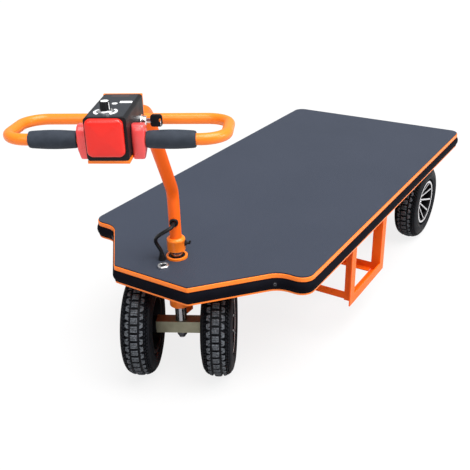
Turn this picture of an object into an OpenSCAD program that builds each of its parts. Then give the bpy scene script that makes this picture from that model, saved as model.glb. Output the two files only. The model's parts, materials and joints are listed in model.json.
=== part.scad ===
// Electric platform trolley: a flat load deck with a narrowed nose, a steered front axle with a
// walk-behind tiller, a driven rear axle and an open battery tray under the deck.
// Frame: +X forward to the tiller, +Y to the left, +Z up, origin at the centre of the main deck's top.

/* [Deck] */
// Length of the main deck, without the nose
deck_l = 1500; // [1200:10:1900]
// Width of the main deck over its skirts
deck_w = 800; // [720:5:950]
// How far the nose reaches ahead of the main deck
nose_l = 205; // [185:5:240]
// Width of the nose at its front edge
nose_w = 262; // [220:2:300]
// Width of the nose where it leaves the main deck
nose_base_w = 616; // [590:2:640]
// Corner radius of the main deck
deck_corner_r = 40; // [20:1:42]
// Radius of the inward corner between deck and nose
nose_fillet_r = 70; // [40:1:75]
// Corner radius at the nose's front
nose_corner_r = 12; // [6:1:25]
// Height of the folded skirt
skirt_h = 56; // [50:1:70]
// Thickness of the skirt
skirt_t = 4; // [3:0.5:5]
// Thickness of the deck plate
plate_t = 3; // [2:0.5:5]
// Thickness of the ribbed mat
mat_t = 4; // [3:0.5:6]
// Strip of skirt edge left bare around the mat
mat_inset = 3; // [2:0.5:6]

/* [Edge bumper] */
// Height of the rubber strip
bumper_h = 32; // [24:1:36]
// How far the strip stands out
bumper_t = 6; // [4:0.5:9]
// Bare skirt above the strip
bumper_drop = 15; // [10:0.5:16]

/* [Under frame] */
// Width of a longitudinal rail
rail_w = 40; // [30:1:50]
// Height of the rails and cross members
rail_h = 45; // [40:1:48]
// Wall of the rails and cross members
rail_wall = 3; // [2:0.5:4]
// Distance between the rails' centre lines
rail_spacing = 420; // [380:5:440]
// Width of a cross member
cross_w = 40; // [30:1:50]

/* [Battery tray] */
// Length of the tray over its posts
tray_l = 301; // [260:1:400]
// Place of the tray's middle, ahead of the deck's centre
tray_x = 270; // [200:1:300]
// Depth of the tray's bottom below the deck's top
tray_drop = 272; // [240:1:300]
// Leg of the tray's angle iron
angle_leg = 34; // [28:1:38]
// Thickness of the tray's angle iron
angle_t = 4; // [3:0.5:5]

/* [Wheels] */
// Outer diameter of a tyre
tyre_d = 320; // [300:2:324]
// Width of a tyre
tyre_w = 97; // [90:1:106]
// Diameter where tyre and rim meet
rim_d = 172; // [160:2:190]
// Deck height above the ground
deck_z = 400; // [392:1:430]
// Diameter of an axle's stub
axle_d = 25; // [20:1:30]
// Distance between the rear tyres' middles
rear_track = 640; // [620:2:660]
// Distance between the front tyres' middles
front_track = 240; // [236:2:260]
// Place of the rear axle, ahead of the deck's rear edge
rear_overhang = 286; // [240:2:320]
// Number of spokes in a rim
spoke_count = 10; // [5:1:12]
// Number of tread blocks round a tyre
block_count = 34; // [24:2:36]

/* [Steering] */
// Steering angle as parked, to the left
steer_angle = 28.5; // [0:0.5:40]
// Place of the kingpin ahead of the main deck
kingpin_ahead = 70; // [60:1:90]
// Diameter of the kingpin
kingpin_d = 35; // [30:1:36]
// Outer diameter of the steering head tube
head_tube_d = 64; // [58:1:70]
// Lower end of the head tube below the deck's top
head_tube_drop = 164; // [150:1:190]
// Side of the square front beam
beam_side = 40; // [38:1:46]
// Diameter of the column's clamp collar
collar_d = 54; // [46:1:60]
// Lower edge of the clamp collar above the deck
collar_z = 25; // [18:1:30]
// Height of the clamp collar
collar_h = 41; // [34:1:50]

/* [Column] */
// Outer diameter of the column
column_d = 35; // [30:1:40]
// Height of the column's lower bend above the deck
column_bend_z = 211; // [190:1:240]
// Lean of the column's middle stretch from upright
column_lean = 43; // [35:0.5:48]
// Bend radius of the column
column_bend_r = 70; // [60:1:90]

/* [Handle] */
// Reach of the grip bar ahead of the kingpin
handle_reach = 609; // [580:1:660]
// Height of the grip bar above the deck
handle_z = 569; // [540:1:600]
// Width of the handle loop, on the tube's centre line
handle_w = 411; // [380:1:460]
// Depth of the handle loop, on the tube's centre line
handle_depth = 148; // [140:1:170]
// Outer diameter of the handle tube
handle_d = 22; // [20:0.5:25]
// Bend radius of the handle tube
handle_bend_r = 47; // [36:1:55]
// Slope of the handle loop, down to the rear
handle_tilt = 2.5; // [0:0.5:4]
// Outer diameter of a grip at its middle
grip_d = 35; // [30:0.5:38]
// Length of a grip
grip_l = 90; // [80:1:92]

/* [Control head] */
// Width of the control housing
head_w = 76; // [70:1:84]
// Length of the control housing
head_l = 155; // [140:1:165]
// Height of the control housing
head_h = 79; // [72:1:88]
// Front face of the housing ahead of the grip bar
head_ahead = 41; // [36:1:48]
// Top of the housing above the grip bar
head_above = 53; // [48:1:58]
// Thickness of the head bracket's plate
bracket_t = 6; // [4:0.5:8]
// Width of the stop pad
pad_w = 68; // [60:1:76]
// Height of the stop pad
pad_h = 69; // [55:1:71]
// Thickness of the stop pad
pad_t = 12; // [8:1:16]
// Width of a throttle paddle
paddle_w = 24; // [18:1:26]
// Height of a throttle paddle
paddle_h = 64; // [54:1:70]

/* [Hidden] */
$fn = 64;

// Paints and stuffs
orange = [0.93, 0.40, 0.08];
mat_grey = [0.25, 0.27, 0.30];
rubber = [0.05, 0.05, 0.055];
alloy = [0.78, 0.79, 0.80];
steel = [0.66, 0.67, 0.66];
olive_steel = [0.46, 0.45, 0.38];
plastic = [0.10, 0.10, 0.11];
red = [0.85, 0.11, 0.09];
white = [0.94, 0.94, 0.93];

// Clearances: a seat between fixed pieces, a running fit, a turning gap, and one overrun for all cuts
seat_gap = 0.1;
edge_gap = 0.3;
run_gap = 0.05;
turn_gap = 0.6;
over = 2;

// Levels
skirt_top_z = -mat_t;
skirt_bottom_z = skirt_top_z - skirt_h;
under_z = skirt_top_z - plate_t;
rail_bottom_z = under_z - rail_h;
tyre_r = tyre_d / 2;
axle_z = tyre_r - deck_z;

// Deck outline, counter-clockwise from the rear right corner.
// Columns: place along X, place along Y, corner radius
half_l = deck_l / 2;
half_w = deck_w / 2;
nose_x = half_l + nose_l;
rear_axle_x = rear_overhang - half_l;
front_edge_w = nose_w - 2 * nose_corner_r;
OUTLINE = [
    [-half_l, -half_w, deck_corner_r],
    [half_l, -half_w, deck_corner_r],
    [half_l, -nose_base_w / 2, nose_fillet_r],
    [nose_x, -nose_w / 2, nose_corner_r],
    [nose_x, nose_w / 2, nose_corner_r],
    [half_l, nose_base_w / 2, nose_fillet_r],
    [half_l, half_w, deck_corner_r],
    [-half_l, half_w, deck_corner_r]];
NOSE_BASE_LEFT = 5;
corner_steps = 8;

function corner(i) = OUTLINE[(i + len(OUTLINE)) % len(OUTLINE)];
function spot(i) = [corner(i)[0], corner(i)[1]];
function run(i) = spot(i + 1) - spot(i);
function heading(i) = atan2(run(i)[1], run(i)[0]);
function way(i) = [cos(heading(i)), sin(heading(i))];
function turn(i) = let (t = heading(i) - heading(i - 1)) t > 180 ? t - 360 : t < -180 ? t + 360 : t;
function side(i) = sign(turn(i));
function tangent(i) = corner(i)[2] * tan(abs(turn(i)) / 2);
function arc_start(i) = spot(i) - way(i - 1) * tangent(i);
function arc_centre(i) = arc_start(i) + side(i) * corner(i)[2] * [-way(i - 1)[1], way(i - 1)[0]];
function arc_points(i, inset) = [for (k = [0 : corner_steps])
    let (a = heading(i - 1) - side(i) * 90 + turn(i) * k / corner_steps)
    arc_centre(i) + (corner(i)[2] - side(i) * inset) * [cos(a), sin(a)]];
function outline(inset) = [for (i = [0 : len(OUTLINE) - 1]) each arc_points(i, inset)];

// One stretch of the folded skirt: the part of the whole wall that lies in the given region
module skirt_stretch() {
    color(orange) translate([0, 0, skirt_bottom_z]) linear_extrude(skirt_h) intersection() {
        difference() {
            polygon(outline(0));
            polygon(outline(skirt_t));
        }
        children();
    }
}

// The bumper strip's section: outward and up from its middle, an arc through its two edges
bumper_arc_r = (pow(bumper_h / 2, 2) + pow(bumper_t, 2)) / (2 * bumper_t);
bumper_half_angle = asin(bumper_h / 2 / bumper_arc_r);
bumper_mid_z = skirt_top_z - bumper_drop - bumper_h / 2;
bumper_steps = 8;
BUMPER_SECTION = concat([[edge_gap, bumper_h / 2], [edge_gap, -bumper_h / 2]],
    [for (k = [1 - bumper_steps : 2 : bumper_steps - 1])
        let (a = bumper_half_angle * k / bumper_steps)
        [bumper_t - bumper_arc_r + bumper_arc_r * cos(a), bumper_arc_r * sin(a)]]);

// Places on the deck's nose
kingpin_x = half_l + kingpin_ahead;
head_tube_r = head_tube_d / 2;
head_tube_top = 6;
gland_ahead = 37;
gland_x = kingpin_x + gland_ahead;
gland_y = -27;
gland_r = 11;
gland_neck_r = 8;
gland_h = 10;
gland_top = 20;
button_ahead = 72;
button_x = kingpin_x + button_ahead;
button_y = 4;
button_r = 17;
button_h = 8;
button_bore_r = 9;
button_dish = 3;

module deck_sheet(inset, thickness) {
    linear_extrude(thickness) difference() {
        polygon(outline(inset));
        translate([kingpin_x, 0]) circle(head_tube_r + seat_gap);
        children();
    }
}

module deck_mat() {
    color(mat_grey) translate([0, 0, -mat_t]) deck_sheet(mat_inset, mat_t) {
        translate([gland_x, gland_y]) circle(gland_r + seat_gap);
        translate([button_x, button_y]) circle(button_r + seat_gap);
    }
}

module deck_plate() {
    color(orange) translate([0, 0, under_z]) deck_sheet(skirt_t + edge_gap, plate_t);
}

module side_skirts() {
    skirt_stretch() for (y = [-half_w, half_w - deck_corner_r])
        translate([deck_corner_r - half_l, y]) square([deck_l - 2 * deck_corner_r, deck_corner_r]);
}

module rear_skirt() {
    skirt_stretch() translate([-half_l, -half_w]) square([deck_corner_r, deck_w]);
}

module front_skirt() {
    skirt_stretch() translate([half_l, -front_edge_w / 2]) square([nose_l, front_edge_w]);
}

module nose_skirts() {
    skirt_stretch() for (y = [-half_w, front_edge_w / 2])
        translate([half_l - deck_corner_r, y]) square([nose_l + deck_corner_r, half_w - front_edge_w / 2]);
}

// The strip goes round the outline as a closed ring of sections
module edge_bumper() {
    points = [for (u = BUMPER_SECTION) [for (p = outline(-u[0])) [p[0], p[1], bumper_mid_z + u[1]]]];
    m = len(BUMPER_SECTION);
    n = len(points[0]);
    color(rubber) polyhedron(
        points = [for (row = points) each row],
        faces = [for (j = [0 : m - 1], k = [0 : n - 1])
            [j * n + k, j * n + (k + 1) % n, (j + 1) % m * n + (k + 1) % n, (j + 1) % m * n + k]]);
}

// Under frame: two hollow rails and the cross members between them
rail_y = rail_spacing / 2;
rail_back_x = -half_l + skirt_t;
rail_front_x = half_l - skirt_t - tangent(NOSE_BASE_LEFT);
cross_front_x = rail_front_x - cross_w / 2;
cross_back_x = rail_back_x + cross_w / 2;
cross_l = rail_spacing - rail_w;

module box_tube(length, width, height, wall) {
    rotate([90, 0, 90]) linear_extrude(length) difference() {
        translate([-width / 2, -height]) square([width, height]);
        translate([wall - width / 2, wall - height]) square([width - 2 * wall, height - 2 * wall]);
    }
}

module long_rails() {
    color(orange) for (s = [-1, 1]) translate([rail_back_x, s * rail_y, under_z])
        box_tube(rail_front_x - rail_back_x, rail_w, rail_h, rail_wall);
}

module cross_members() {
    color(orange) for (x = [cross_back_x, rear_axle_x + axle_bracket_l, tray_x - tray_l / 2 - cross_w,
            tray_x + tray_l / 2 + cross_w, cross_front_x])
        translate([x, -cross_l / 2, under_z]) rotate([0, 0, 90])
            box_tube(cross_l, cross_w, rail_h, rail_wall);
}

// Steering head: a tube through the nose, with a deep gusset behind it
seal_r = 25;
seal_depth = 8;
seal_rise = 3;
gusset_t = 10;
gusset_deep = 26;
gusset_lap = 4;
swing_gap = 5;

module head_tube() {
    color(orange) translate([kingpin_x, 0, 0]) difference() {
        translate([0, 0, -head_tube_drop]) cylinder(r = head_tube_r, h = head_tube_drop + head_tube_top);
        translate([0, 0, -head_tube_drop - over])
            cylinder(d = kingpin_d + 2 * run_gap, h = head_tube_drop + head_tube_top + 2 * over);
        translate([0, 0, seal_rise - seal_depth])
            cylinder(r = seal_r + seat_gap, h = seal_depth + head_tube_top);
    }
}

module bearing_seal() {
    color(rubber) translate([kingpin_x, 0, seal_rise - seal_depth]) difference() {
        cylinder(r = seal_r, h = seal_depth);
        translate([0, 0, -over]) cylinder(d = kingpin_d + 2 * turn_gap, h = seal_depth + 2 * over);
    }
}

module head_gusset() {
    back = cross_front_x + cross_w / 2 - kingpin_x;
    deep = -head_tube_r - gusset_deep;
    low = axle_z + beam_side / 2 + swing_gap;
    near = -kingpin_d / 2 - swing_gap;
    color(orange) translate([kingpin_x, 0, 0]) difference() {
        translate([0, gusset_t / 2, 0]) rotate([90, 0, 0]) linear_extrude(gusset_t)
            polygon([[0, under_z], [back, under_z], [back, rail_bottom_z], [deep, rail_bottom_z],
                [deep, low], [near, low], [near, -head_tube_drop + gusset_lap],
                [0, -head_tube_drop + gusset_lap]]);
        translate([0, 0, -head_tube_drop - over])
            cylinder(r = head_tube_r + seat_gap, h = head_tube_drop + over);
    }
}

module cable_gland() {
    color(plastic) translate([gland_x, gland_y, skirt_top_z]) {
        cylinder(r = gland_r, h = gland_h - skirt_top_z);
        translate([0, 0, gland_h - skirt_top_z]) cylinder(r = gland_neck_r, h = gland_top - gland_h);
    }
}

module deck_button() {
    color(alloy) translate([button_x, button_y, skirt_top_z]) difference() {
        cylinder(r = button_r, h = button_h - skirt_top_z);
        translate([0, 0, button_h - skirt_top_z - button_dish])
            cylinder(r = button_bore_r, h = button_dish + over);
    }
}

// Battery tray: four angle posts on the skirts' inner faces, with their corners to the tray's middle, and
// angle rails between them
tray_y = half_w - skirt_t;
tray_bottom_z = -tray_drop;
cross_leg = 27;

// An angle of two legs, along +Z, with its outer corner at the origin
module angle_bar(leg, length) {
    linear_extrude(length) {
        square([leg, angle_t]);
        square([angle_t, leg]);
    }
}

module tray_posts() {
    color(orange) for (sx = [-1, 1], sy = [-1, 1])
        translate([tray_x + sx * (tray_l / 2 - angle_leg), sy * tray_y, tray_bottom_z])
            mirror([(1 - sx) / 2, 0, 0]) mirror([0, (1 + sy) / 2, 0])
                angle_bar(angle_leg, under_z - tray_bottom_z);
}

module tray_rails() {
    side_l = tray_l - 2 * angle_leg;
    cross_bar_l = 2 * (tray_y - angle_leg);
    face_x = side_l / 2 + angle_t;
    color(orange) translate([tray_x, 0, tray_bottom_z]) {
        for (s = [-1, 1]) mirror([0, (1 + s) / 2, 0])
            translate([-side_l / 2, -tray_y, 0]) rotate([90, 0, 90]) angle_bar(angle_leg, side_l);
        for (s = [-1, 1]) mirror([(1 + s) / 2, 0, 0])
            translate([-face_x, cross_bar_l / 2, angle_t + edge_gap]) rotate([90, 0, 0])
                angle_bar(cross_leg, cross_bar_l);
    }
}

// Rear axle: a round housing with stubs, hung from the rails on plates, with the drive unit at its middle
hub_in = 42;
hub_out = 16;
hub_r = 27;
hub_floor = 10;
hub_chamfer = 4;
axle_housing_d = 44;
axle_bracket_l = 80;
axle_bracket_t = 12;
axle_bracket_foot = 24;
gear_r = 62;
gear_side = 4;
motor_r = 52;
gear_l = 2 * (motor_r + gear_side);
motor_l = 190;
motor_rise = 12;

// Half of an axle's length, up to its end inside the hub
function axle_end(track) = track / 2 + hub_out - hub_floor - turn_gap;

module axle_stubs(track) {
    rotate([90, 0, 0]) translate([0, 0, -axle_end(track)]) cylinder(d = axle_d, h = 2 * axle_end(track));
}

module rear_axle() {
    housing_l = rear_track - 2 * (hub_in + turn_gap);
    color(plastic) translate([rear_axle_x, 0, axle_z]) {
        axle_stubs(rear_track);
        difference() {
            rotate([90, 0, 0]) translate([0, 0, -housing_l / 2]) cylinder(d = axle_housing_d, h = housing_l);
            cube([axle_housing_d * 2, gear_l, axle_housing_d * 2], center = true);
        }
    }
}

module axle_brackets() {
    drop = rail_bottom_z - axle_z;
    foot_r = axle_housing_d / 2 + axle_bracket_foot;
    color(orange) for (s = [-1, 1]) translate([rear_axle_x, s * rail_y + axle_bracket_t / 2, axle_z])
        rotate([90, 0, 0]) linear_extrude(axle_bracket_t) difference() {
            union() {
                circle(foot_r);
                polygon([[-foot_r, 0], [foot_r, 0], [axle_bracket_l, drop], [-axle_bracket_l, drop]]);
            }
            circle(d = axle_housing_d + 2 * seat_gap);
        }
}

// The gear case straddles the axle, with the motor lying ahead of it
module drive_unit() {
    color(plastic) translate([rear_axle_x, 0, axle_z]) difference() {
        union() {
            rotate([90, 0, 0]) translate([0, 0, -gear_l / 2]) cylinder(r = gear_r, h = gear_l);
            translate([0, 0, motor_rise]) rotate([0, 90, 0]) cylinder(r = motor_r, h = gear_r + motor_l);
        }
        rotate([90, 0, 0]) translate([0, 0, -gear_l / 2 - over])
            cylinder(d = axle_d + 2 * seat_gap, h = gear_l + 2 * over);
    }
}

// Steered assembly: kingpin, front beam, column, handle and control head
kingpin_top_z = collar_z + collar_h / 2;
kingpin_bottom_z = axle_z - beam_side / 2;
nut_d = 30;
nut_h = 20;
stem_d = 20;
stem_l = 24;
screw_z = collar_z + collar_h / 2;
screw_d = 8;
screw_l = 12;
screw_head_d = 15;
screw_head_l = 6;
collar_chamfer = 5;

module steered() {
    translate([kingpin_x, 0, 0]) rotate([0, 0, steer_angle]) children();
}

module kingpin() {
    color(steel) steered() {
        translate([0, 0, kingpin_bottom_z]) cylinder(d = kingpin_d, h = kingpin_top_z - kingpin_bottom_z);
        translate([0, 0, kingpin_bottom_z - stem_l]) cylinder(d = stem_d, h = stem_l);
    }
}

module kingpin_nut() {
    color(steel) steered() translate([0, 0, kingpin_bottom_z - nut_h]) difference() {
        cylinder(d = nut_d, h = nut_h, $fn = 6);
        translate([0, 0, -over]) cylinder(d = stem_d + 2 * seat_gap, h = nut_h + 2 * over);
    }
}

module front_beam() {
    beam_l = front_track - 2 * (hub_in + turn_gap);
    color(olive_steel) steered() translate([0, 0, axle_z]) difference() {
        union() {
            cube([beam_side, beam_l, beam_side], center = true);
            axle_stubs(front_track);
        }
        translate([0, 0, -beam_side]) cylinder(d = kingpin_d + 2 * seat_gap, h = 2 * beam_side);
    }
}

module clamp_collar() {
    r = collar_d / 2;
    color(orange) steered() difference() {
        rotate_extrude() polygon([[column_r + seat_gap, collar_z], [r, collar_z],
            [r, collar_z + collar_h - collar_chamfer], [r - collar_chamfer, collar_z + collar_h],
            [column_r + seat_gap, collar_z + collar_h]]);
        translate([0, 0, screw_z]) rotate([-90, 0, 0]) cylinder(d = screw_d + 2 * seat_gap, h = collar_d);
    }
}

module clamp_screw() {
    color(plastic) steered() translate([0, column_r + seat_gap, screw_z]) rotate([-90, 0, 0]) {
        reach = collar_d / 2 - column_r + screw_l;
        cylinder(d = screw_d, h = reach);
        translate([0, 0, reach]) cylinder(d = screw_head_d, h = screw_head_l);
    }
}

// Column: upright out of the collar, leaning forward, then level under the handle loop
column_r = column_d / 2;
column_level = 90 - column_lean;
handle_r = handle_d / 2;
loop_rear_x = handle_reach - handle_depth * cos(handle_tilt);
loop_rear_z = handle_z - handle_depth * sin(handle_tilt);
column_top_z = loop_rear_z - handle_r - column_r - seat_gap;
head_front_x = handle_reach + head_ahead;
head_back_x = head_front_x - head_l;
head_top_z = handle_z + head_above;
head_bottom_z = head_top_z - head_h;
low_tangent = column_bend_r * tan(column_lean / 2);
high_tangent = column_bend_r * tan(column_level / 2);
lean_l = (column_top_z - column_bend_z) / cos(column_lean);
lean_x = lean_l * sin(column_lean);
grommet_z = 119;
grommet_r = 13;
grommet_l = 9;
grommet_lip = 3;
bend_lap = 1.5;
bend_thin = 0.15;

// A round bar bent from +Z towards +X, a little thinned in the bend and lapped into its straight ends
module bar_bend(r, bend_r, angle) {
    translate([bend_r, 0, 0]) rotate([90, 0, 180]) rotate([0, 0, -bend_lap])
        rotate_extrude(angle = angle + 2 * bend_lap) translate([bend_r, 0]) circle(r - bend_thin);
}

// Moves to the end of such a bend
module after_bend(bend_r, angle) {
    translate([bend_r * (1 - cos(angle)), 0, bend_r * sin(angle)]) rotate([0, angle, 0]) children();
}

module column() {
    upright = column_bend_z - low_tangent - kingpin_top_z;
    middle = lean_l - low_tangent - high_tangent;
    level = head_back_x - bracket_t - seat_gap - lean_x - high_tangent;
    color(orange) steered() translate([0, 0, kingpin_top_z]) {
        difference() {
            cylinder(r = column_r, h = upright);
            translate([0, 0, grommet_z - kingpin_top_z]) rotate([0, 90, 0])
                cylinder(r = grommet_r - grommet_lip + seat_gap, h = column_d);
        }
        translate([0, 0, upright]) {
            bar_bend(column_r, column_bend_r, column_lean);
            after_bend(column_bend_r, column_lean) {
                cylinder(r = column_r, h = middle);
                translate([0, 0, middle]) {
                    bar_bend(column_r, column_bend_r, column_level);
                    after_bend(column_bend_r, column_level) cylinder(r = column_r, h = level);
                }
            }
        }
    }
}

module column_grommet() {
    color(rubber) steered() difference() {
        translate([0, 0, grommet_z]) rotate([0, 90, 0]) cylinder(r = grommet_r, h = column_r + grommet_l / 2);
        translate([0, 0, grommet_z - grommet_r - over])
            cylinder(r = column_r + seat_gap, h = 2 * (grommet_r + over));
    }
}

// Control cable, from the grommet on the column to the gland on the deck: its route's points
cable_d = 11;
cable_sides = 8;
cable_tip_share = 0.3;
CABLE_ROUTE = [[839.6, 10.6, 119], [851, 17, 119], [863, 20, 118], [874, 17, 115], [882, 8, 109],
    [885, -4, 100], [883, -17, 89], [878, -28, 76], [871, -34.5, 63], [864.5, -35, 50], [860, -31.5, 38],
    [857.3, -28.5, 28], [857, -27, 20.3]];
CABLE_ASIDE = [cos(steer_angle), sin(steer_angle), cable_tip_share];

function cable_way(i) = let (n = len(CABLE_ROUTE) - 1)
    i == 0 ? [cos(steer_angle), sin(steer_angle), 0] : i == n ? [0, 0, -1]
    : let (d = CABLE_ROUTE[i + 1] - CABLE_ROUTE[i - 1]) d / norm(d);
function cable_ring(i) = let (w = cable_way(i), a = cross(w, CABLE_ASIDE), u = a / norm(a), v = cross(w, u))
    [for (k = [0 : cable_sides - 1]) let (t = 360 * k / cable_sides)
        CABLE_ROUTE[i] + cable_d / 2 * (cos(t) * u + sin(t) * v)];

module control_cable() {
    n = len(CABLE_ROUTE);
    m = cable_sides;
    color(plastic) polyhedron(
        points = [for (i = [0 : n - 1]) each cable_ring(i)],
        faces = concat([[for (k = [0 : m - 1]) k]],
            [for (i = [0 : n - 2], k = [0 : m - 1])
                [i * m + k, (i + 1) * m + k, (i + 1) * m + (k + 1) % m, i * m + (k + 1) % m]],
            [[for (k = [m - 1 : -1 : 0]) (n - 1) * m + k]]));
}

// Head bracket: a back plate on the column's end and a floor under the housing
module head_bracket() {
    back_bottom = column_top_z - column_r;
    color(orange) steered() {
        translate([head_back_x - bracket_t, -head_w / 2, back_bottom])
            cube([bracket_t, head_w, head_top_z - back_bottom]);
        translate([head_back_x, -head_w / 2, head_bottom_z - bracket_t]) cube([head_l, head_w, bracket_t]);
    }
}

// Moves to the grip bar's middle, in the plane of the handle loop
module at_grip_bar() {
    steered() translate([handle_reach, 0, handle_z]) rotate([0, -handle_tilt, 0]) children();
}

module handle_loop() {
    across = handle_w - 2 * handle_bend_r;
    along = handle_depth - 2 * handle_bend_r;
    color(orange) at_grip_bar() {
        for (x = [0, -handle_depth])
            translate([x, across / 2, 0]) rotate([90, 0, 0]) cylinder(r = handle_r, h = across);
        for (s = [-1, 1]) {
            translate([-handle_bend_r - along, s * handle_w / 2, 0]) rotate([0, 90, 0])
                cylinder(r = handle_r, h = along);
            for (x = [[-handle_bend_r, 0], [-handle_bend_r - along, 90]])
                mirror([0, (1 - s) / 2, 0]) translate([x[0], across / 2, 0]) rotate([0, 0, x[1]])
                    rotate_extrude(angle = 90) translate([handle_bend_r, 0]) circle(handle_r);
        }
    }
}

// Grips: barrel-shaped sleeves whose outer face is an arc
grip_end_d = 31;
grip_gap = 1;
grip_steps = 12;

module grips() {
    bulge = (grip_d - grip_end_d) / 2;
    color(rubber) at_grip_bar() for (s = [-1, 1]) mirror([0, (1 - s) / 2, 0])
        translate([0, head_w / 2 + paddle_w + grip_gap, 0]) rotate([-90, 0, 0]) rotate_extrude()
            polygon(concat([[handle_r + seat_gap, 0]],
                [for (k = [0 : grip_steps])
                    [grip_end_d / 2 + bulge * sin(180 * k / grip_steps), grip_l * k / grip_steps]],
                [[handle_r + seat_gap, grip_l]]));
}

// Control housing, with the grip bar through it
head_edge_r = 6;
round_steps = 6;
slot_l = 34;
slot_w = 5;
slot_depth = 2;
slot_back = 17;

// A rectangle on X and Y with round corners, about its middle
module round_rect(w, h, r) {
    polygon([for (q = [[1, 1, 0], [-1, 1, 90], [-1, -1, 180], [1, -1, 270]], k = [0 : round_steps])
        let (a = q[2] + 90 * k / round_steps)
        [q[0] * (w / 2 - r), q[1] * (h / 2 - r)] + r * [cos(a), sin(a)]]);
}

// Lays a shape on the YZ plane and draws it out along +X
module along_x(length) {
    rotate([90, 0, 90]) linear_extrude(length) children();
}

module head_housing() {
    color(plastic) steered() difference() {
        translate([head_back_x, 0, head_bottom_z + head_h / 2]) along_x(head_l)
            round_rect(head_w, head_h, head_edge_r);
        translate([handle_reach, 0, handle_z]) rotate([90, 0, 0])
            translate([0, 0, -head_w]) cylinder(r = handle_r + seat_gap, h = 2 * head_w);
        translate([head_back_x + slot_back, 0, head_top_z - slot_depth]) linear_extrude(slot_depth + over)
            square([slot_w, slot_l], center = true);
    }
}

// Stop pad: a round-cornered cushion of a push plate, with a stepped edge
pad_corner_r = 9;
pad_step = 3;
pad_y = -1.5;

module stop_pad() {
    color(red) steered() translate([head_front_x, pad_y, head_top_z - pad_h / 2 - pad_step / 2]) {
        along_x(pad_t - pad_step) round_rect(pad_w, pad_h, pad_corner_r);
        translate([pad_t - pad_step, 0, 0])
            along_x(pad_step) round_rect(pad_w - 2 * pad_step, pad_h - 2 * pad_step, pad_corner_r - pad_step);
    }
}

// Throttle paddles: the front view's outline and the side view's outline, crossed. Shares of width,
// height and depth, from the inner lower corner round
paddle_depth = 30;
paddle_drop = 3;
PADDLE_FRONT_SHARES = [[0.08, 0], [0.84, 0], [1, 0.3], [1, 0.92], [0.9, 1], [0.3, 1], [0.08, 0.9], [0, 0.55]];
PADDLE_SIDE_SHARES = [[0.2, 0], [0.8, 0], [1, 0.4], [0.95, 0.8], [0.7, 1], [0.3, 1], [0, 0.75], [0, 0.3]];

module throttle_paddles() {
    color(red) at_grip_bar() for (s = [-1, 1]) mirror([0, (1 - s) / 2, 0])
        translate([0, head_w / 2 + edge_gap, 0]) difference() {
            intersection() {
                translate([-paddle_depth / 2, 0, -paddle_h / 2 - paddle_drop]) along_x(paddle_depth)
                    polygon([for (p = PADDLE_FRONT_SHARES) [p[0] * paddle_w, p[1] * paddle_h]]);
                translate([-paddle_depth / 2, paddle_w, -paddle_h / 2 - paddle_drop]) rotate([90, 0, 0])
                    linear_extrude(paddle_w)
                        polygon([for (p = PADDLE_SIDE_SHARES) [p[0] * paddle_depth, p[1] * paddle_h]]);
            }
            rotate([-90, 0, 0]) translate([0, 0, -over])
                cylinder(r = handle_r + seat_gap, h = paddle_w + 2 * over);
        }
}

// Top panel: dial ring, lamp ring and gauge window, with the speed knob in the dial
mark_t = 1;
dial_back = 35;
dial_x = head_front_x - dial_back;
dial_y = -5;
dial_r = 23;
dial_hole_r = 17;
knob_r = 9.5;
knob_foot_r = 14;
knob_foot_h = 4;
knob_h = 20;
lamp_back = 86;
lamp_x = head_front_x - lamp_back;
lamp_y = 0;
lamp_r = 5;
lamp_hole_r = 2.5;
gauge_back = 96;
gauge_x = head_front_x - gauge_back;
gauge_y = 19;
gauge_w = 11;
gauge_l = 23;

module panel_marks() {
    color(white) steered() translate([0, 0, head_top_z]) linear_extrude(mark_t) {
        translate([dial_x, dial_y]) difference() {
            circle(dial_r);
            circle(dial_hole_r);
        }
        translate([lamp_x, lamp_y]) difference() {
            circle(lamp_r);
            circle(lamp_hole_r);
        }
        translate([gauge_x, gauge_y]) square([gauge_w, gauge_l], center = true);
    }
}

module dial_knob() {
    color(plastic) steered() translate([dial_x, dial_y, head_top_z]) {
        cylinder(r = knob_foot_r, h = knob_foot_h);
        cylinder(r = knob_r, h = knob_h);
    }
}

// Key switch on the housing's left side, with its key in it
key_back = 120;
key_drop = 42;
key_x = head_front_x - key_back;
key_z = head_top_z - key_drop;
lock_r = 9;
lock_l = 12;
lock_flange_r = 12;
lock_flange_l = 3;
key_w = 2.5;
key_blade_h = 8;
key_blade_l = 7;
key_head_h = 24;
key_head_l = 23;
key_head_w = 6;
key_head_r = 4;

module key_switch() {
    color(alloy) steered() translate([key_x, head_w / 2, key_z]) {
        rotate([-90, 0, 0]) {
            cylinder(r = lock_flange_r, h = lock_flange_l);
            cylinder(r = lock_r, h = lock_l);
        }
        translate([-key_w / 2, lock_l, -key_blade_h / 2]) cube([key_w, key_blade_l, key_blade_h]);
        translate([-key_head_w / 2, lock_l + key_blade_l + key_head_l / 2, 0])
            along_x(key_head_w) round_rect(key_head_l, key_head_h, key_head_r);
    }
}

// Wheels: a tyre of round section with a block tread, on a deep spoked rim. The wheel's axis is Y, and
// its outer side is +Y
bead_w = 70;
section_power = 2.05;
section_steps = 20;
groove_w = 6.5;
groove_depth = 6;
groove_y = 15.5;
block_gap = 5;
block_depth = 5;
lug_depth = 11;
rim_lip_h = 8;
rim_lip_w = 8;
rim_wall = 4;
rim_gap = 0.1;
disc_t = 12;
spoke_root_y = 11;
spoke_tip_y = 40;
spoke_root_w = 11;
spoke_tip_w = 8;
spoke_turn = -12;

// Tyre section: a superellipse from bead to bead, as radius and place across the tread
bead_r = rim_d / 2 + rim_gap;
function section(k) = let (s = 2 * k / section_steps - 1) [
    bead_r + (tyre_r - bead_r) * pow(1 - pow(abs(s), section_power), 1 / section_power),
    tyre_w / 2 * sin(90 * s) * (1 - (1 - bead_w / tyre_w) * pow(abs(s), 2 * section_steps))];

// How far the side wall leans out from the bead, for each unit of radius
function wall_lean() = let (d = section(section_steps - 1) - section(section_steps)) d[1] / d[0];

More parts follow.
